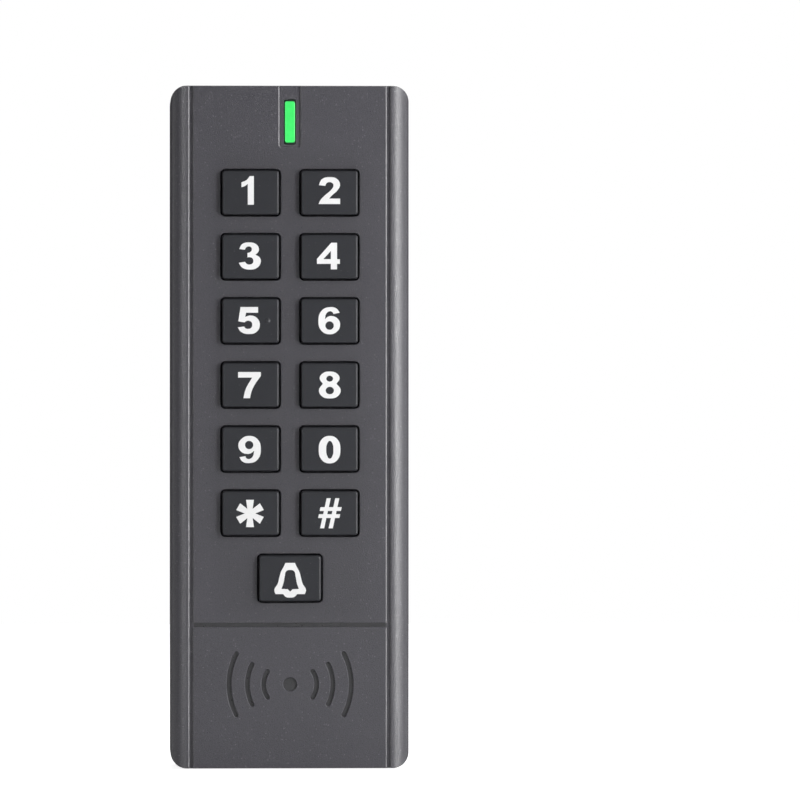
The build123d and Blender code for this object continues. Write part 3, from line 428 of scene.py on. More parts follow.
def make_painted_shade():
    group, into, out = new_group(
        "painted_shade",
        [("Deep Amount", "Float", 0.7), ("Veil Amount", "Float", 0.15),
         ("Half Width", "Float", 0.0183)],
        [("Mask", "Float")],
    )
    spot = node(group, "SeparateXYZ")
    put(group, spot.inputs[0], node(group, "TexCoord").outputs["Object"])
    across = sums(group, "ABSOLUTE", spot.outputs["X"])
    inside = sums(group, "LESS_THAN", across, into.outputs["Half Width"])
    below = sums(group, "SUBTRACT", spot.outputs["Y"], front_face)
    under_bar = sums(group, "LESS_THAN", spot.outputs["Z"], PAINTED_SHADE_TOP)
    inside = sums(group, "MULTIPLY", inside, under_bar)
    deep = sums(group, "MULTIPLY", remap(group, below, PAINTED_SHADE_FROM, PAINTED_SHADE_FULL), inside)
    keypad = (key_at["1"] + key_at["bell"]) / 2
    up = sums(group, "ABSOLUTE", sums(group, "SUBTRACT", spot.outputs["Z"], keypad.z))
    tall = key_at["1"].z - keypad.z + HALO_MARGIN
    veil = sums(group, "MULTIPLY", remap(group, across, HALO_FROM, HALO_END, 1.0, 0.0),
                remap(group, up, tall, tall + HALO_MARGIN, 1.0, 0.0))
    patch = remap(group, noise(group, place_on(group), 120.0, 3.0), 0.3, 0.7, 0.7, 1.0)
    veil = sums(group, "MULTIPLY", sums(group, "MULTIPLY", veil, patch), into.outputs["Veil Amount"])
    deep = sums(group, "MULTIPLY", deep, into.outputs["Deep Amount"])
    put(group, out.inputs["Mask"], sums(group, "MAXIMUM", deep, veil))
    return group


PAINTED_SHADE_MASK = make_painted_shade()


def add_painted_shade(material, deep, veil):
    """Lays painted shade over whatever colour the material already has."""
    tree = material.node_tree
    socket = tree.nodes["Principled BSDF"].inputs["Base Color"]
    clean = socket.links[0].from_socket
    mask = use(tree, PAINTED_SHADE_MASK, Deep_Amount=deep, Veil_Amount=veil)["Mask"]
    put(tree, socket, blend_colour(tree, mask, clean, PAINTED_SHADE))


# Painted shade in the housing's recesses and a painted shadow round its keys.
add_painted_shade(housing, 0.85, 0.22)
print("grime laid on", housing.name)

# %% [markdown]
# ## Shared finish: brushed and plated metal
#
# Rolled sheet, turned screws and plated cans all show fine parallel lines, and light spreads
# across them. The lines are a noise that is stretched along the rolling direction. The group
# takes that stretch as a vector, so a plate can be brushed upright and a screw head round about.

# %% Brushed metal group
def make_brushed():
    group, into, out = new_group(
        "brushed_metal",
        [
            ("Colour", "Color", (0.6, 0.6, 0.6, 1)),
            ("Stretch", "Vector", (1, 1, 0.05)),
            ("Lines per mm", "Float", 6.0),
            ("Contrast", "Float", 0.2),
            ("Tarnish", "Float", 0.1),
            ("Roughness", "Float", 0.3),
        ],
        [("Colour", "Color"), ("Roughness", "Float"), ("Height", "Float")],
    )
    mapping = node(group, "Mapping")
    put(group, mapping.inputs["Vector"], node(group, "TexCoord").outputs["Object"])
    put(group, mapping.inputs["Scale"], into.outputs["Stretch"])
    per_metre = sums(group, "MULTIPLY", into.outputs["Lines per mm"], 1000.0)
    lines = remap(group, noise(group, mapping.outputs[0], per_metre, 3.0, 0.7), 0.3, 0.7)
    stain = remap(group, noise(group, place_on(group), 180.0, 5.0, 0.6), 0.45, 0.75)
    swing = sums(group, "MULTIPLY", sums(group, "SUBTRACT", lines, 0.5), into.outputs["Contrast"])
    dulled = sums(group, "MULTIPLY", stain, into.outputs["Tarnish"])
    toned = node(group, "VectorMath", operation="SCALE")
    put(group, toned.inputs[0], into.outputs["Colour"])
    put(group, toned.inputs["Scale"], sums(group, "SUBTRACT", sums(group, "ADD", swing, 1.0), dulled))
    rough = sums(group, "ADD", sums(group, "MULTIPLY_ADD", swing, 0.5, into.outputs["Roughness"]),
                 sums(group, "MULTIPLY", dulled, 0.8), clamp=True)
    put(group, out.inputs["Colour"], toned.outputs[0])
    put(group, out.inputs["Roughness"], rough)
    put(group, out.inputs["Height"], lines)
    return group


BRUSHED = make_brushed()


# %% The metals
def metal(name, colour, stretch, lines, contrast, tarnish, roughness, relief=0.000004, **sockets):
    """A bare or plated metal with brushed lines, dull stains and bright rubbed edges."""
    material, tree, shader = new_material(name, Metallic=1.0, **sockets)
    brushed = use(tree, BRUSHED, Colour=(*colour, 1), Stretch=stretch, Lines_per_mm=lines,
                  Contrast=contrast, Tarnish=tarnish, Roughness=roughness)
    worn_and_lit = use(tree, EDGE_WEAR_AND_HIGHLIGHT, Reach=0.0002, Amount=0.5)
    bright = tuple(min(1.0, 1.25 * c) for c in colour)
    shown = blend_colour(tree, worn_and_lit["Mask"], brushed["Colour"], (*bright, 1))
    put(tree, shader.inputs["Base Color"], shown)
    put(tree, shader.inputs["Roughness"], brushed["Roughness"])
    bump(tree, shader, brushed["Height"], 0.5, relief)
    return material


zinc = metal("zinc plated steel", (0.58, 0.59, 0.60), (1, 1, 0.3), 9.0, 0.3, 0.25, 0.30)
nickel = metal("nickel plating", (0.70, 0.67, 0.61), (1, 1, 0.1), 8.0, 0.15, 0.15, 0.22)
tinned = metal("tinned steel", (0.68, 0.68, 0.66), (0.1, 1, 1), 6.0, 0.15, 0.12, 0.28)
gold = metal("gold plating", (0.85, 0.60, 0.25), (1, 1, 1), 5.0, 0.1, 0.1, 0.20)
copper = metal("enamelled copper", (0.72, 0.30, 0.13), (1, 1, 1), 3.0, 0.15, 0.1, 0.25,
               Coat_Weight=0.6, Coat_Roughness=0.12)
solder = metal("solder", (0.66, 0.67, 0.68), (1, 1, 1), 2.0, 0.25, 0.3, 0.32)
print("metals:", [m.name for m in (zinc, nickel, tinned, gold, copper, solder)])

# %% [markdown]
# ## Galvanised sheet
#
# The wall plate is cut from galvanised sheet. Zinc freezes in flat crystals, so the sheet has
# angular patches of slightly different brightness, called spangle. Voronoi cells have just that
# shape, and each cell's random number becomes its tone and its roughness.

# %% Galvanised sheet material
def make_galvanised():
    material, tree, shader = new_material("galvanised sheet", Metallic=1.0)
    brushed = use(tree, BRUSHED, Colour=(0.52, 0.54, 0.55, 1), Stretch=(1, 1, 0.04), Lines_per_mm=5.0,
                  Contrast=0.12, Tarnish=0.25, Roughness=0.36)
    crystals = node(tree, "TexVoronoi")
    put(tree, crystals.inputs["Vector"], place_on(tree, (1, 0.3, 0.7)))
    crystals.inputs["Scale"].default_value = 260.0
    tone = node(tree, "SeparateColor")
    put(tree, tone.inputs[0], crystals.outputs["Color"])
    shown = blend_colour(tree, sums(tree, "MULTIPLY", tone.outputs[0], 0.35), brushed["Colour"],
                         (0.30, 0.32, 0.34, 1))
    settled = use(tree, DUST, Amount=0.05)
    put(tree, shader.inputs["Base Color"], blend_colour(tree, settled["Mask"], shown, DUST_GREY))
    uneven = sums(tree, "MULTIPLY_ADD", tone.outputs[1], 0.16, brushed["Roughness"])
    put(tree, shader.inputs["Roughness"], uneven)
    bump(tree, shader, brushed["Height"], 0.4, 0.000006)
    return material


galvanised = make_galvanised()
print("made", galvanised.name)

# %% [markdown]
# ## The light bar
#
# The bar is a green resin strip with LEDs behind it. It glows evenly in the middle, and towards its
# rim both the glow and the resin's colour fall off to near black: painted shade for the shadow in
# the slot round the bar. The fall-off comes from how far a point is from the bar's own middle, so it
# stays in place however the reader is turned.

# %% Green light bar material
LIT_HALF_WIDTH = 0.94 * MM
LIT_HALF_HEIGHT = 3.9 * MM
LIT_CORNER = 0.4 * MM
FADE_FROM, FADE_END = -0.04 * MM, 0.06 * MM  # the glow ends between these, seen from the lit edge


def make_lens():
    lens_low, lens_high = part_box("indicator_lens")
    centre = (lens_low + lens_high) / 2
    material, tree, shader = new_material("lit green resin", Coat_Weight=0.5, Coat_Roughness=0.15)
    spot = node(tree, "SeparateXYZ")
    put(tree, spot.inputs[0], node(tree, "TexCoord").outputs["Object"])
    across = sums(tree, "ABSOLUTE", sums(tree, "SUBTRACT", spot.outputs["X"], centre.x))
    up = sums(tree, "ABSOLUTE", sums(tree, "SUBTRACT", spot.outputs["Z"], centre.z))
    past_x = sums(tree, "MAXIMUM", sums(tree, "SUBTRACT", across, LIT_HALF_WIDTH - LIT_CORNER), 0.0)
    past_z = sums(tree, "MAXIMUM", sums(tree, "SUBTRACT", up, LIT_HALF_HEIGHT - LIT_CORNER), 0.0)
    squares = sums(tree, "MULTIPLY_ADD", past_x, past_x, sums(tree, "MULTIPLY", past_z, past_z))
    edge = sums(tree, "SQRT", squares)
    rim_shade = remap(tree, edge, LIT_CORNER + FADE_FROM, LIT_CORNER + FADE_END)
    cloudy = remap(tree, noise(tree, place_on(tree), 700.0, 2.0), 0.35, 0.65, 0.0, 0.1)
    # Towards the rim the glow and the resin go dark: painted shade for the slot's shadow.
    glow = blend_colour(tree, sums(tree, "ADD", rim_shade, cloudy, clamp=True), (0.073, 0.91, 0.185, 1),
                        (0.0, 0.012, 0.003, 1))
    resin = blend_colour(tree, rim_shade, (0.01, 0.20, 0.03, 1), (0.01, 0.03, 0.015, 1))
    put(tree, shader.inputs["Base Color"], resin)
    put(tree, shader.inputs["Emission Color"], glow)
    shader.inputs["Emission Strength"].default_value = 0.84
    shader.inputs["Roughness"].default_value = 0.28
    bump(tree, shader, cloudy, 0.3, 0.00002)
    return material


lit_green = make_lens()
print("made", lit_green.name)

# %% [markdown]
# ## Legend ink
#
# The legends are white ink, pad printed on the caps. Ink lies a few hundredths of a millimetre
# thick, a little uneven, and less shiny than the cap.

# %% Ink material
ink = moulded("legend ink", (0.74, 0.74, 0.74), (0.80, 0.80, 0.80), 6.0, 0.05, 0.03, 0.55,
              relief=0.000006, wear_and_highlight=0.0, dust=0.0, drift=0.02)

# %% [markdown]
# ## Rubber, silicone, foam and wire insulation
#
# The key mat is milky silicone, which lets a little light through, so it has some subsurface
# scattering. The seals are black rubber with a dull sheen. The foam strip is open cells cut
# through at the surface, and Voronoi cells pressed in as bump give its pores.

# %% Soft materials
def rubbery(name, colour, roughness, grains=3.0, contrast=0.15, relief=0.00001, **sockets):
    return moulded(name, colour, tuple(min(1.0, 1.4 * c + 0.01) for c in colour), grains, contrast,
                   0.02, roughness, relief=relief, wear_and_highlight=0.1, dust=0.05, **sockets)


silicone = rubbery("milky silicone", (0.55, 0.55, 0.52), 0.5, Subsurface_Weight=0.25,
                   Subsurface_Scale=0.0008, Coat_Weight=0.1, Coat_Roughness=0.4)
seal = rubbery("seal rubber", (0.022, 0.022, 0.023), 0.62, grains=5.0, contrast=0.3,
               Sheen_Weight=0.15)
red_wire, black_wire = (
    rubbery(name, colour, 0.4, Coat_Weight=0.2, Coat_Roughness=0.3)
    for name, colour in (("red insulation", (0.50, 0.025, 0.02)),
                         ("black insulation", (0.016, 0.016, 0.017))))


def make_foam():
    material, tree, shader = new_material("pore foam", Sheen_Weight=0.3)
    pores = node(tree, "TexVoronoi")
    put(tree, pores.inputs["Vector"], place_on(tree))
    pores.inputs["Scale"].default_value = 2600.0
    hole = remap(tree, pores.outputs["Distance"], 0.1, 0.5)
    # The pores are painted darker than the cut faces: painted shade in the holes.
    shade = blend_colour(tree, hole, (0.012, 0.012, 0.013, 1), (0.065, 0.065, 0.068, 1))
    put(tree, shader.inputs["Base Color"], shade)
    put(tree, shader.inputs["Roughness"], remap(tree, hole, 0.0, 1.0, 0.95, 0.8))
    bump(tree, shader, hole, 0.9, 0.00015)
    return material


foam = make_foam()
print("soft materials:", [m.name for m in (silicone, seal, red_wire, black_wire, foam)])

# %% [markdown]
# ## Circuit board, resin and film
#
# A board is glass cloth under green lacquer, with copper tracks that show as slightly paler,
# raised lines. A brick pattern gives runs that break and step over, much as tracks do. Another
# one, turned a quarter round, takes its place in patches, so the tracks change direction. LEDs
# and the sensor's window are clear resin.

# %% Board material
def make_laminate():
    material, tree, shader = new_material("board lacquer", Coat_Weight=0.5, Coat_Roughness=0.12)
    cloth = remap(tree, noise(tree, place_on(tree, (1, 1, 1)), 2500.0, 2.0), 0.3, 0.7)
    tracks = []
    for turn, width in ((0.0, 3.1), (math.pi / 2, 5.3)):
        mapping = node(tree, "Mapping")
        mapping.inputs["Rotation"].default_value = (math.pi / 2, 0, turn)
        put(tree, mapping.inputs["Vector"], node(tree, "TexCoord").outputs["Object"])
        run = node(tree, "TexBrick", offset=0.37, squash=0.6)
        put(tree, run.inputs["Vector"], mapping.outputs[0])
        run.inputs["Scale"].default_value = 1000.0
        run.inputs["Mortar Size"].default_value = 0.11
        run.inputs["Mortar Smooth"].default_value = 0.15
        run.inputs["Brick Width"].default_value = width * 2.2
        run.inputs["Row Height"].default_value = width * 0.5
        tracks.append(run.outputs["Fac"])
    routed = remap(tree, noise(tree, place_on(tree), 110.0, 2.0), 0.46, 0.54)
    track = sums(tree, "MULTIPLY", blend_value(tree, routed, tracks[0], tracks[1]), 0.45)
    lacquer = blend_colour(tree, cloth, (0.006, 0.085, 0.030, 1), (0.010, 0.125, 0.045, 1))
    put(tree, shader.inputs["Base Color"], blend_colour(tree, track, lacquer, (0.03, 0.24, 0.08, 1)))
    put(tree, shader.inputs["Roughness"], remap(tree, cloth, 0.0, 1.0, 0.32, 0.42))
    raised = sums(tree, "MULTIPLY_ADD", track, 0.8, sums(tree, "MULTIPLY", cloth, 0.2))
    bump(tree, shader, raised, 0.5, 0.00004)
    return material


laminate = make_laminate()


# %% Resin, film and ceramic
def glossy(name, colour, second, scale, roughness, **sockets):
    """A smooth material whose colour drifts between two tones."""
    material, tree, shader = new_material(name, **sockets)
    drift = remap(tree, noise(tree, place_on(tree), scale, 3.0), 0.35, 0.65)
    put(tree, shader.inputs["Base Color"], blend_colour(tree, drift, (*colour, 1), (*second, 1)))
    put(tree, shader.inputs["Roughness"], remap(tree, drift, 0.0, 1.0, roughness, roughness + 0.08))
    bump(tree, shader, drift, 0.2, 0.00001)
    return material


led_resin = glossy("led resin", (0.88, 0.87, 0.70), (0.93, 0.92, 0.82), 900.0, 0.16, Coat_Weight=0.6)
film = glossy("amber film", (0.42, 0.20, 0.035), (0.55, 0.29, 0.06), 400.0, 0.18, Coat_Weight=0.5)
ceramic = glossy("capacitor ceramic", (0.42, 0.30, 0.19), (0.50, 0.37, 0.25), 1500.0, 0.45)
window = glossy("clear window", (0.78, 0.82, 0.82), (0.84, 0.87, 0.87), 500.0, 0.05,
                Transmission_Weight=0.85, IOR=1.49)
print("resins:", [m.name for m in (led_resin, film, ceramic, window)])

# %% [markdown]
# ## Dressing the frame
#
# Each piece of the frame keeps its shape and takes the finish of its slot in the parts list.
# Pieces that a soft or wound piece will stand for are dressed too, so that none is left bare.

# %% Give every frame piece its finish
finish_of = {
    "housing_plastic": housing, "key_plastic": keys, "black_plastic": black, "green_lens": lit_green,
    "clear_plastic": window, "silicone": silicone, "board_laminate": laminate, "gold_plating": gold,
    "led_body": led_resin, "chip_black": chips, "tinned_steel": tinned, "component_ceramic": ceramic,
    "zinc_steel": zinc, "coil_copper": copper, "amber_film": film, "seal_rubber": seal, "foam": foam,
    "cell_can": nickel, "nickel": nickel, "white_plastic": nylon, "red_insulation": red_wire,
    "black_insulation": black_wire, "plate_steel": galvanised,
}
for part in frame["record"]["subparts"]:
    piece = nodes[part["node"]]
    piece.data.materials.clear()
    piece.data.materials.append(finish_of[part["material_slot"]])
print("dressed", len(nodes), "pieces in", len(finish_of), "finishes")

# %% [markdown]
# ## Printed legends
#
# Each cap carries one white figure in a heavy rounded sans. A font could give the figures, but
# its shapes would be fixed, so each outline is drawn as a closed curve with a few points on it,
# like lettering with a pen tool. A point is (right, up) in millimetres from the cap's middle. A
# third value of 1 makes it a sharp corner, and the other points are passed through smoothly. A
# curve inside another one becomes a hole. The flat curve gets the thickness of a layer of ink
# and is turned into a mesh before it is stood up on its cap.

# %% Outlines of the figures
def ring(x, z, across, up):
    """A smooth oval hole or outline."""
    turns = [k * math.pi / 4 for k in range(8)]
    return [(x + across * math.sin(turn), z + up * math.cos(turn)) for turn in turns]


def mirrored(points):
    """A right half from top to bottom, followed by its mirror image back to the top."""
    return points + [(-p[0], *p[1:]) for p in reversed(points) if abs(p[0]) > 1e-6]


LEAN = 0.22


def leaning(points):
    """Corners pushed right in step with their height, for the slanted hash."""
    return [(x + LEAN * z, z, 1) for x, z in points]


def star_arms(x, z, reach, end, neck):
    """Six arms that widen from the neck to flat ends."""
    points = []
    for k in range(6):
        turn = math.radians(90 - 60 * k)
        ahead = Vector((math.cos(turn), math.sin(turn)))
        aside = Vector((math.sin(turn), -math.cos(turn)))
        between = turn - math.radians(30)
        for corner in (ahead * reach - aside * end, ahead * reach + aside * end):
            points.append((x + corner.x, z + corner.y, 1))
        points.append((x + 2 * neck * math.cos(between), z + 2 * neck * math.sin(between), 1))
    return points


outlines = {
    "1": [[(-0.6, -2.36, 1), (0.64, -2.36, 1), (0.64, 3.16, 1), (-0.2, 3.16, 1), (-0.8, 2.42),
           (-1.8, 1.97, 1), (-1.8, 0.95, 1), (-1.15, 1.17), (-0.6, 1.55, 1)]],
    "2": [[(-2.16, -2.1, 1), (2.04, -2.1, 1), (2.04, -0.98, 1), (0.0, -0.98, 1), (0.5, -0.42),
           (1.55, 0.55), (2.02, 1.6), (1.5, 2.7), (0.0, 3.1), (-1.5, 2.68), (-2.1, 1.5, 1),
           (-0.78, 1.36, 1), (-0.55, 1.86), (0.0, 2.06), (0.55, 1.85), (0.7, 1.42), (0.3, 0.72),
           (-0.9, -0.36), (-1.75, -1.25)]],
    "3": [[(-2.26, 1.42, 1), (-1.6, 2.44), (-0.3, 2.76), (1.1, 2.36), (1.6, 1.42), (1.42, 0.8),
           (0.95, 0.38, 1), (1.7, -0.1), (1.96, -0.95), (1.3, -2.1), (-0.2, -2.5), (-1.65, -2.1),
           (-2.34, -1.14, 1), (-1.1, -0.92, 1), (-0.75, -1.32), (-0.2, -1.46), (0.3, -1.25),
           (0.46, -0.8), (0.28, -0.34), (-0.2, -0.14), (-0.66, -0.2, 1), (-0.66, 0.74, 1),
           (-0.12, 0.9), (0.16, 1.36), (0.0, 1.78), (-0.38, 1.9), (-0.8, 1.74), (-1.1, 1.26, 1)]],
    "4": [[(0.3, 2.7, 1), (1.46, 2.7, 1), (1.46, -0.44, 1), (2.0, -0.44, 1), (2.0, -1.4, 1),
           (1.46, -1.4, 1), (1.46, -2.44, 1), (0.2, -2.44, 1), (0.2, -1.4, 1), (-2.44, -1.4, 1),
           (-2.44, -0.4, 1)], [(0.2, 1.0, 1), (0.2, -0.42, 1), (-1.1, -0.42, 1)]],
    "5": [[(-1.98, 2.66, 1), (1.44, 2.66, 1), (1.44, 1.5, 1), (-0.84, 1.5, 1), (-1.0, 0.8, 1),
           (-0.15, 1.05), (1.15, 0.62), (1.76, -0.72), (1.2, -2.08), (-0.35, -2.56), (-1.85, -2.14),
           (-2.54, -1.2, 1), (-1.24, -1.04, 1), (-0.95, -1.38), (-0.45, -1.5), (0.06, -1.28),
           (0.24, -0.76), (0.06, -0.22), (-0.45, -0.02), (-0.85, -0.1), (-1.16, -0.35, 1),
           (-2.4, -0.12, 1)]],
    "6": [[(2.0, 1.5, 1), (1.35, 2.36), (0.12, 2.66), (-1.5, 2.0), (-2.16, 0.0), (-1.6, -1.88),
           (-0.02, -2.6), (1.5, -2.0), (2.04, -0.8), (1.55, 0.46), (0.35, 0.96), (-0.35, 0.8),
           (-0.84, 0.42, 1), (-0.58, 1.36), (0.05, 1.78), (0.5, 1.64), (0.7, 1.26, 1)],
          ring(0.0, -0.9, 0.76, 0.76)],
    "7": [[(-2.44, 2.5, 1), (1.96, 2.5, 1), (1.96, 1.7, 1), (0.72, -0.1), (0.12, -1.5),
           (-0.1, -2.56, 1), (-1.44, -2.56, 1), (-1.0, -0.8), (0.2, 1.36, 1), (-2.44, 1.36, 1)]],
    "8": [[(0.0, 2.6), (1.4, 2.22), (1.94, 1.26), (1.36, 0.24, 1), (2.16, -1.0), (1.55, -2.18),
           (0.04, -2.6), (-1.48, -2.18), (-2.06, -1.0), (-1.34, 0.24, 1), (-1.92, 1.26), (-1.36, 2.22)],
          ring(0.02, 1.2, 0.6, 0.52), ring(0.04, -1.06, 0.74, 0.66)],
    "9": [[(-2.22, -1.5, 1), (-1.6, -2.38), (-0.35, -2.7), (1.3, -2.05), (1.96, 0.0), (1.35, 1.88),
           (-0.25, 2.56), (-1.8, 1.95), (-2.4, 0.76), (-1.85, -0.5), (-0.65, -0.96), (0.1, -0.8),
           (0.6, -0.42, 1), (0.34, -1.4), (-0.3, -1.84), (-0.8, -1.7), (-1.0, -1.3, 1)],
          ring(-0.3, 0.78, 0.74, 0.74)],
    "0": [[(0.0, 2.56), (1.5, 1.9), (2.1, -0.1), (1.5, -2.1), (0.0, -2.76), (-1.5, -2.1),
           (-2.1, -0.1), (-1.5, 1.9)],
          [(0.05, 1.52), (0.52, 1.0), (0.68, -0.12), (0.52, -1.25), (0.05, -1.78), (-0.42, -1.25),
           (-0.6, -0.12), (-0.42, 1.0)]],
    "star": [star_arms(-0.14, -0.1, 2.64, 0.79, 0.56)],
    "hash": [leaning([(-1.2, 2.8), (-0.34, 2.8), (-0.34, 1.1), (0.43, 1.1), (0.43, 2.8), (1.3, 2.8),
                      (1.3, 1.1), (2.12, 1.1), (2.12, 0.3), (1.3, 0.3), (1.3, -0.24), (2.12, -0.24),
                      (2.12, -1.04), (1.3, -1.04), (1.3, -3.0), (0.43, -3.0), (0.43, -1.04),
                      (-0.34, -1.04), (-0.34, -3.0), (-1.2, -3.0), (-1.2, -1.04), (-2.0, -1.04),
                      (-2.0, -0.24), (-1.2, -0.24), (-1.2, 0.3), (-2.0, 0.3), (-2.0, 1.1),
                      (-1.2, 1.1)]),
             leaning([(-0.34, 0.3), (0.43, 0.3), (0.43, -0.24), (-0.34, -0.24)])],
    "bell": [mirrored([(0.0, 2.86), (0.95, 2.86, 1), (1.22, 2.2), (1.76, 1.2), (2.06, 0.2), (2.4, -1.1),
                       (3.05, -2.35), (2.8, -3.16, 1), (1.35, -3.16, 1), (0.85, -3.68), (0.0, -3.83)]),
             mirrored([(0.0, 1.42), (0.72, 1.2), (0.98, 0.3), (1.25, -1.1), (1.6, -2.1, 1),
                       (0.45, -2.15, 1), (0.0, -2.6, 1)])],
}
print("drew", len(outlines), "figures with",
      sum(len(curve) for figure in outlines.values() for curve in figure), "points")

# %% Legends on their caps
INK = 0.04 * MM
SUNK = 0.005 * MM  # the ink's back lies this far inside the cap
SLIMMER = -0.04 * MM  # every stroke is drawn in by this much on each side
LIFT = {"2": -0.12, "bell": 0.14, "hash": 0.09, "star": 0.06}


def make_legend(name):
    """One figure as a thin slab of ink that is slightly sunk in its cap."""
    curve = bpy.data.curves.new("figure", "CURVE")
    curve.dimensions = "2D"
    curve.fill_mode = "BOTH"
    curve.resolution_u = 8
    curve.extrude = INK / 2
    curve.offset = SLIMMER
    for outline in outlines[name]:
        spline = curve.splines.new("BEZIER")
        spline.bezier_points.add(len(outline) - 1)
        spline.use_cyclic_u = True
        for point, (right, up, *corner) in zip(spline.bezier_points, outline):
            point.co = (right * MM, up * MM, 0)
            point.handle_left_type = point.handle_right_type = "VECTOR" if corner else "AUTO"
    piece = bpy.data.objects.new("figure", curve)
    bpy.context.scene.collection.objects.link(piece)
    take(piece)
    bpy.ops.object.convert(target="MESH")
    piece = bpy.context.object
    piece.rotation_euler = (math.pi / 2, 0, 0)
    piece.location = (key_at[name].x, key_face - INK / 2 + SUNK,
                      key_at[name].z + LIFT.get(name, 0) * MM)
    piece.data.materials.clear()
    piece.data.materials.append(ink)
    return settle(piece, "legend_" + name, "key_" + name)


start_clean()
legends = [make_legend(name) for name in key_names]
print("printed", len(legends), "legends,", sum(len(p.data.polygons) for p in legends), "faces")

# %% [markdown]
# ## The silicone key mat
#
# Under the keys lies one sheet of silicone. It starts as a cube that is flattened to the sheet's
# thickness, its upright corners are rounded with a bevel, and cylinders cut a round opening below
# each key. Small pegs on its back locate it on the board. The domes that spring each key back are
# separate webs, because a web folds when its key goes down and the sheet doesn't.

# %% Tools for solid shapes
def block(low, high):
    """A cube from one corner to the other. A corner is (x, depth, z) in millimetres."""
    size = [abs(b - a) * MM for a, b in zip(low, high)]
    place = [(low[0] + high[0]) / 2 * MM, depth((low[1] + high[1]) / 2), (low[2] + high[2]) / 2 * MM]
    start_clean()
    bpy.ops.mesh.primitive_cube_add(size=1, location=place)
    bpy.context.object.scale = size
    bpy.ops.object.transform_apply(location=False, rotation=False, scale=True)
    return bpy.context.object


def disc(x, z, radius, back, front, sides=48):
    """A round rod that points at the viewer, between two depths in millimetres."""
    start_clean()
    bpy.ops.mesh.primitive_cylinder_add(
        vertices=sides, radius=radius * MM, depth=(front - back) * MM,
        location=(x * MM, depth((front + back) / 2), z * MM), rotation=(math.pi / 2, 0, 0))
    return bpy.context.object


def combine(piece, tool, operation):
    """Cuts a tool's shape out (DIFFERENCE) or joins it on (UNION), and deletes the tool."""
    modifier = piece.modifiers.new("combine", "BOOLEAN")
    modifier.operation = operation
    modifier.object = tool
    modifier.solver = "EXACT"
    apply_all(piece)
    bpy.data.objects.remove(tool, do_unlink=True)


def round_uprights(piece, radius, segments=6):
    """Rounds the four edges of a block that run front to back. The radius is in millimetres."""
    take(piece)
    bpy.ops.object.mode_set(mode="EDIT")
    bpy.ops.mesh.select_mode(type="EDGE")
    bpy.ops.mesh.select_all(action="DESELECT")
    bpy.ops.object.mode_set(mode="OBJECT")
    for edge in piece.data.edges:
        a, b = (piece.data.vertices[i].co for i in edge.vertices)
        edge.select = abs(a.x - b.x) < CLOSE and abs(a.z - b.z) < CLOSE
    bpy.ops.object.mode_set(mode="EDIT")
    bpy.ops.mesh.bevel(offset=radius * MM, segments=segments, affect="EDGES")
    bpy.ops.object.mode_set(mode="OBJECT")


def spun(points, closed, centre, axis, steps):
    """Turns an outline once round an axis. A closed outline's last point meets its first."""
    start_clean()
    mesh = bpy.data.meshes.new("spun")
    last = len(points) if closed else len(points) - 1
    edges = [(k, (k + 1) % len(points)) for k in range(last)]
    mesh.from_pydata(points, edges, [])
    piece = bpy.data.objects.new("spun", mesh)
    bpy.context.scene.collection.objects.link(piece)
    take(piece)
    bpy.ops.object.mode_set(mode="EDIT")
    bpy.ops.mesh.select_all(action="SELECT")
    bpy.ops.mesh.spin(steps=steps, angle=2 * math.pi, center=centre, axis=axis)
    bpy.ops.mesh.select_all(action="SELECT")
    bpy.ops.mesh.remove_doubles(threshold=1e-6)
    bpy.ops.object.mode_set(mode="OBJECT")
    return piece


def paint(piece, material):
    """Gives a piece one material and no other."""
    piece.data.materials.clear()
    piece.data.materials.append(material)


def smooth(piece, degrees=35):
    take(piece)
    bpy.ops.object.shade_smooth_by_angle(angle=math.radians(degrees))


# %% Key mat
MAT_BACK = 16.65
MAT_FRONT = 17.2
MAT_CORNER = 1.5
DOME_OPENING = 3.7
PEG_RADIUS = 0.8
PEG_BACK = 15.45
PEG_ROOT = 16.9
LED_ROWS = [44.6 - 12.2 * row for row in range(6)]
LED_POCKET = 17.1
PEG_ROWS = (38.5, 14.1, -10.3)
PAST = 1.0  # cutting tools run this far past the sheet

mat_low, mat_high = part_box("key_mat")
mat = block((mat_low.x / MM, MAT_BACK, mat_low.z / MM),
            (mat_high.x / MM, MAT_FRONT, mat_high.z / MM))
round_uprights(mat, MAT_CORNER)
for at in key_at.values():
    hole = disc(at.x / MM, at.z / MM, DOME_OPENING, MAT_BACK - PAST, MAT_FRONT + PAST)
    combine(mat, hole, "DIFFERENCE")
for row in LED_ROWS:
    pocket = block((-0.6, MAT_BACK - PAST, row - 0.4), (0.6, LED_POCKET, row + 0.4))
    combine(mat, pocket, "DIFFERENCE")
for row in PEG_ROWS:
    combine(mat, disc(0, row, PEG_RADIUS, PEG_BACK, PEG_ROOT, 32), "UNION")
paint(mat, silicone)
settle(mat, "mat_sheet", "housing")
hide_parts("key_mat")
print("mat sheet has", len(mat.data.polygons), "faces")

# %% [markdown]
# ## The domes and the key cores
#
# A dome is a cone-shaped web. Its outline is a short zigzag of points on one side of the key's
# axis, and spinning it once round the axis makes the web. In the reader the web folds flat under
# its key, but here it keeps its shape on the mat. The core above it fills the hollow cap and
# carries the carbon puck, and it goes down with the key.

# %% Domes and cores
KEY_TRAVEL = 0.8
WEB_TOP = 18.15
WEB = [(4.15, MAT_FRONT), (3.75, MAT_FRONT), (3.7, 17.4), (2.75, 17.95), (2.3, 18.0),
       (2.3, WEB_TOP), (2.75, WEB_TOP), (3.05, 18.1), (3.95, 17.6)]
CORE_FRONT = 19.7
CORE_CORNER = 0.5
PUCK_RADIUS = 2.25
PUCK_FRONT = 18.5
PUCK_BACK = -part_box("contact_pads")[0].y / MM + KEY_TRAVEL + 0.01


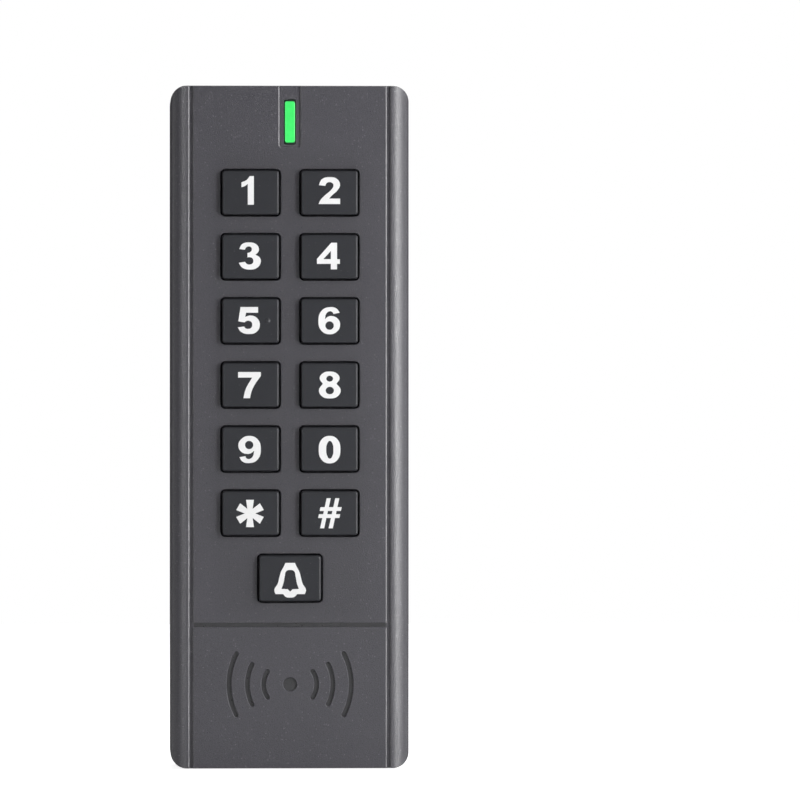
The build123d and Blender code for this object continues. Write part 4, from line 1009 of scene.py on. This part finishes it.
def make_dome(name):
    at = key_at[name]
    points = [(at.x + radius * MM, depth(out), at.z) for radius, out in WEB]
    piece = spun(points, True, (at.x, 0, at.z), (0, 1, 0), 48)
    paint(piece, silicone)
    settle(piece, "dome_" + name, "housing")
    smooth(piece)
    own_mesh(piece)
    return piece


def make_core(name):
    at = key_at[name]
    x, z = at.x / MM, at.z / MM
    half_x, half_z = (4.6, 3.05) if name == "bell" else (4.1, 2.9)
    piece = block((x - half_x, WEB_TOP, z - half_z), (x + half_x, CORE_FRONT, z + half_z))
    round_uprights(piece, CORE_CORNER, 4)
    combine(piece, disc(x, z, PUCK_RADIUS, PUCK_BACK, PUCK_FRONT, 40), "UNION")
    paint(piece, silicone)
    return settle(piece, "key_core_" + name, "key_" + name)


domes = [make_dome(name) for name in key_names]
cores = [make_core(name) for name in key_names]
print("spun", len(domes), "domes and made", len(cores), "key cores")

# %% [markdown]
# ## The battery cells
#
# An AAA cell is a drawn steel can with a crimped foot, a raised button and a printed sleeve. The
# can is a spun outline. The sleeve is a second one just outside it, and its print is plain bands
# of colour that are placed by how far along the cell a point is.

# %% Cell sleeve material
LOWER_BAND = (0.012, 0.012, 0.014, 1)
UPPER_BANDS = ((30.5, (0.42, 0.20, 0.045, 1)), (32.0, (0.05, 0.055, 0.06, 1)))


def make_sleeve(name, foot, way):
    """Sleeve print for a cell that stands on its foot height and points up (1) or down (-1)."""
    material, tree, shader = new_material(name, Coat_Weight=0.35, Coat_Roughness=0.2)
    spot = node(tree, "SeparateXYZ")
    put(tree, spot.inputs[0], node(tree, "TexCoord").outputs["Object"])
    along = sums(tree, "MULTIPLY", sums(tree, "SUBTRACT", spot.outputs["Z"], foot * MM), way / MM)
    shown = LOWER_BAND
    for start, colour in UPPER_BANDS:
        shown = blend_colour(tree, remap(tree, along, start, start + 0.05), shown, colour)
    scuffs = remap(tree, noise(tree, place_on(tree, (1, 1, 0.2)), 1400.0, 4.0), 0.55, 0.75, 0.0, 0.12)
    put(tree, shader.inputs["Base Color"], blend_colour(tree, scuffs, shown, (0.5, 0.5, 0.5, 1)))
    put(tree, shader.inputs["Roughness"], remap(tree, scuffs, 0.0, 0.12, 0.26, 0.42))
    bump(tree, shader, scuffs, 0.2, 0.00001)
    return material


# %% Spin the cells
CELL_DEPTH = 8.95
CAN = [(0, 0), (4.3, 0), (4.6, 0.25), (5.1, 0.3), (5.15, 0.6), (5.15, 43.0), (4.9, 43.5),
       (4.4, 43.7), (2.3, 43.6), (1.95, 43.8), (1.9, 44.3), (1.75, 44.5), (0, 44.5)]
SLEEVE = [(5.16, 0.45), (5.25, 0.5), (5.25, 43.1), (5.05, 43.5), (4.55, 43.7), (4.5, 43.62),
          (4.97, 43.42), (5.16, 43.05)]


def make_cell(number, x, foot, way):
    """A can and its sleeve. The foot is the z of the flat end, and way is 1 up or -1 down."""
    centre = (x * MM, depth(CELL_DEPTH), 0)
    sleeve_print = make_sleeve("cell sleeve " + number, foot, way)
    pieces = []
    for label, outline, closed, material in (("can", CAN, False, nickel),
                                             ("sleeve", SLEEVE, True, sleeve_print)):
        points = [((x + radius) * MM, centre[1], (foot + way * along) * MM)
                  for radius, along in outline]
        piece = spun(points, closed, centre, (0, 0, 1), 64)
        paint(piece, material)
        settle(piece, "cell_" + number + "_" + label, "housing")
        smooth(piece)
        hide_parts("battery_cells")
        pieces.append(piece)
    return pieces


cells = []
for number, x, foot, way in (("1", -10.8, -14.45, 1), ("2", 0.0, 26.45, -1),
                             ("3", 10.8, -14.45, 1)):
    cells += make_cell(number, x, foot, way)
print("spun", len(cells), "cell pieces")

# %% [markdown]
# ## The antenna coil
#
# The coil is thin enamelled wire wound in a rounded rectangle. A turn is a closed curve with a
# round section and rounded corners. The turns of a layer are the same loop drawn a little smaller
# each time, and every other layer lies over the gaps of the one under it.

# %% Wind the coil
coil_low, coil_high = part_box("antenna_coil")
WIRE = 0.12  # the radius of the wire
LAYERS = 4
TURNS = 8
TURN_STEP = 0.265
LAYER_STEP = 0.255
NESTED = 0.13  # every other layer lies this far in, between the turns under it
COIL_CORNER = 5.0


def wire_loop(half_x, half_z, centre_z, out, corner, steps=8):
    """A closed rounded rectangle of round wire. All lengths are in millimetres."""
    start_clean()
    curve = bpy.data.curves.new("turn", "CURVE")
    curve.dimensions = "3D"
    curve.bevel_depth = WIRE * MM
    curve.bevel_resolution = 2
    spline = curve.splines.new("POLY")
    points = []
    for k, (sx, sz) in enumerate(((1, 1), (-1, 1), (-1, -1), (1, -1))):
        for j in range(steps + 1):
            turn = math.pi / 2 * (k + j / steps)
            points.append((sx * (half_x - corner) + corner * math.cos(turn),
                           centre_z + sz * (half_z - corner) + corner * math.sin(turn)))
    spline.points.add(len(points) - 1)
    for point, (x, z) in zip(spline.points, points):
        point.co = (x * MM, depth(out), z * MM, 1)
    spline.use_cyclic_u = True
    piece = bpy.data.objects.new("turn", curve)
    bpy.context.scene.collection.objects.link(piece)
    take(piece)
    bpy.ops.object.convert(target="MESH")
    return bpy.context.object


half_width = (coil_high.x - coil_low.x) / 2 / MM
half_height = (coil_high.z - coil_low.z) / 2 / MM
coil_z = (coil_high.z + coil_low.z) / 2 / MM
turns = []
for layer in range(LAYERS):
    for turn in range(TURNS):
        inset = WIRE + turn * TURN_STEP + (NESTED if layer % 2 else 0.0)
        out = -coil_high.y / MM + WIRE + layer * LAYER_STEP
        turns.append(wire_loop(half_width - inset, half_height - inset, coil_z, out,
                               COIL_CORNER - inset))
start_clean()
for turn in turns:
    turn.select_set(True)
bpy.context.view_layer.objects.active = turns[0]
bpy.ops.object.join()
coil = bpy.context.object
paint(coil, copper)
settle(coil, "coil_winding", "housing")
smooth(coil, 60)
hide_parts("antenna_coil")
print("wound", len(turns), "turns,", len(coil.data.polygons), "faces")

# %% [markdown]
# ## The foam strip
#
# A strip of soft foam between the bay door and the cells keeps them from rattling. It is a block
# with softened edges.

# %% Foam strip
pad_low, pad_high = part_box("cell_pad")
pad = block((pad_low.x / MM, -pad_high.y / MM, pad_low.z / MM),
            (pad_high.x / MM, -pad_low.y / MM, pad_high.z / MM))
take(pad)
bpy.ops.object.mode_set(mode="EDIT")
bpy.ops.mesh.select_all(action="SELECT")
bpy.ops.mesh.bevel(offset=0.15 * MM, segments=3, affect="EDGES")
bpy.ops.object.mode_set(mode="OBJECT")
paint(pad, foam)
settle(pad, "foam_strip", "housing")
smooth(pad, 40)
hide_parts("cell_pad")
print("foam strip has", len(pad.data.polygons), "faces")

# %% [markdown]
# ## Floor, light and camera
#
# The reader stands on its foot on a plain pale floor, as on a photographer's table. The floor
# glows for the camera only, and more so further away, where it meets the white behind it.
#
# Two tall narrow panels stand in front, one to each side, and draw the bright lines down the two
# cheeks. A short low one on the right makes the lower part of that line brighter. Broad panels
# beside and behind the reader light its sides and its back, and two above it light its top. The
# surroundings are white to the camera, and dim grey otherwise, a little darker on the left.

# %% Floor
FLOOR_GAP = 0.2 * MM
start_clean()
bpy.ops.mesh.primitive_plane_add(size=1.6, location=(0, 0, cad_box[0].z - FLOOR_GAP))
floor = bpy.context.object
floor.name = "floor"
floor_paint, tree, shader = new_material("floor paint", Roughness=0.6, Specular_IOR_Level=0.3)
mottle = remap(tree, noise(tree, place_on(tree), 30.0, 4.0), 0.3, 0.7)
paler = blend_colour(tree, mottle, (0.78, 0.78, 0.78, 1), (0.82, 0.82, 0.82, 1))
put(tree, shader.inputs["Base Color"], paler)
seen = node(tree, "LightPath").outputs["Is Camera Ray"]
put(tree, shader.inputs["Emission Color"], blend_colour(tree, seen, (0, 0, 0, 1), (1, 1, 1, 1)))
reach = node(tree, "VectorMath", operation="LENGTH")
put(tree, reach.inputs[0], node(tree, "TexCoord").outputs["Object"])
put(tree, shader.inputs["Emission Strength"], remap(tree, reach.outputs["Value"], 0.05, 0.4, 0.85, 1.0))
paint(floor, floor_paint)
print("floor lies at", round(floor.location.z / MM, 2), "mm")


# %% Lights
PANELS = {  # place, width, height, watts
    "right softbox": ((0.30, -0.335, 0.06), 0.09, 0.6, 1.65),
    "right low": ((0.28, -0.31, 0.0), 0.09, 0.12, 0.4),
    "right wide": ((0.54, -0.25, 0.05), 0.26, 0.8, 2.6),
    "right back": ((0.95, 0.35, 0.1), 0.5, 1.0, 2.3),
    "left strip": ((-0.43, -0.74, 0.0), 0.05, 0.9, 2.9),
    "left fill": ((-0.99, -0.25, 0.05), 0.7, 1.0, 0.6),
    "left back": ((-0.93, 0.30, 0.05), 0.6, 1.0, 1.1),
    "top panel": ((0.1, -0.4, 0.9), 0.6, 0.4, 0.6),
    "overhead": ((0.0, 0.25, 0.85), 0.5, 0.4, 2.5),
}
MIDDLE = Vector((0, 0, 0))
LOW_MARK = Vector((0, 0, -0.04))


def panel(name, place, target, width, height, watts):
    """A rectangular soft white light at a place, turned to face a target."""
    lamp = bpy.data.lights.new(name, "AREA")
    lamp.shape = "RECTANGLE"
    lamp.size = width
    lamp.size_y = height
    lamp.energy = watts
    holder = bpy.data.objects.new(name, lamp)
    bpy.context.scene.collection.objects.link(holder)
    holder.location = place
    holder.rotation_euler = (target - Vector(place)).to_track_quat("-Z", "Y").to_euler()


for name, (place, width, height, watts) in PANELS.items():
    panel(name, place, LOW_MARK if name == "right low" else MIDDLE, width, height, watts)

world = bpy.data.worlds.new("studio")
bpy.context.scene.world = world
world.use_nodes = True
tree = world.node_tree
sides = node(tree, "SeparateXYZ")
put(tree, sides.inputs[0], node(tree, "TexCoord").outputs["Generated"])
across = remap(tree, sides.outputs["X"], -0.9, 0.9)
around = blend_colour(tree, across, (0.017, 0.017, 0.018, 1), (0.034, 0.034, 0.035, 1))
seen = node(tree, "LightPath").outputs["Is Camera Ray"]
shown = blend_colour(tree, seen, around, (1.0, 1.0, 1.0, 1))
put(tree, tree.nodes["Background"].inputs["Color"], shown)
tree.nodes["Background"].inputs["Strength"].default_value = 1.0
bpy.context.scene.view_settings.view_transform = "Standard"

# %% Camera
LENS = 300.0
SENSOR = 36.0
VIEW_WIDTH = 152.48 * MM  # how much of the world fits across the picture where it aims
aim = Vector((20.98 * MM, depth(20.7), 5.14 * MM))
away = VIEW_WIDTH * LENS / SENSOR
aside = -30.7 * MM - aim.x  # the camera stands a little to the left
camera_data = bpy.data.cameras.new("camera")
camera_data.lens = LENS
camera_data.sensor_width = SENSOR
camera_data.clip_start = 0.01
camera_data.clip_end = 20.0
camera = bpy.data.objects.new("camera", camera_data)
bpy.context.scene.collection.objects.link(camera)
camera.location = aim + Vector((aside, -math.sqrt(away**2 - aside**2), 0))
camera.rotation_euler = (aim - camera.location).to_track_quat("-Z", "Y").to_euler()
bpy.context.scene.camera = camera
print("camera stands", round(away / MM), "mm from the point it aims at")
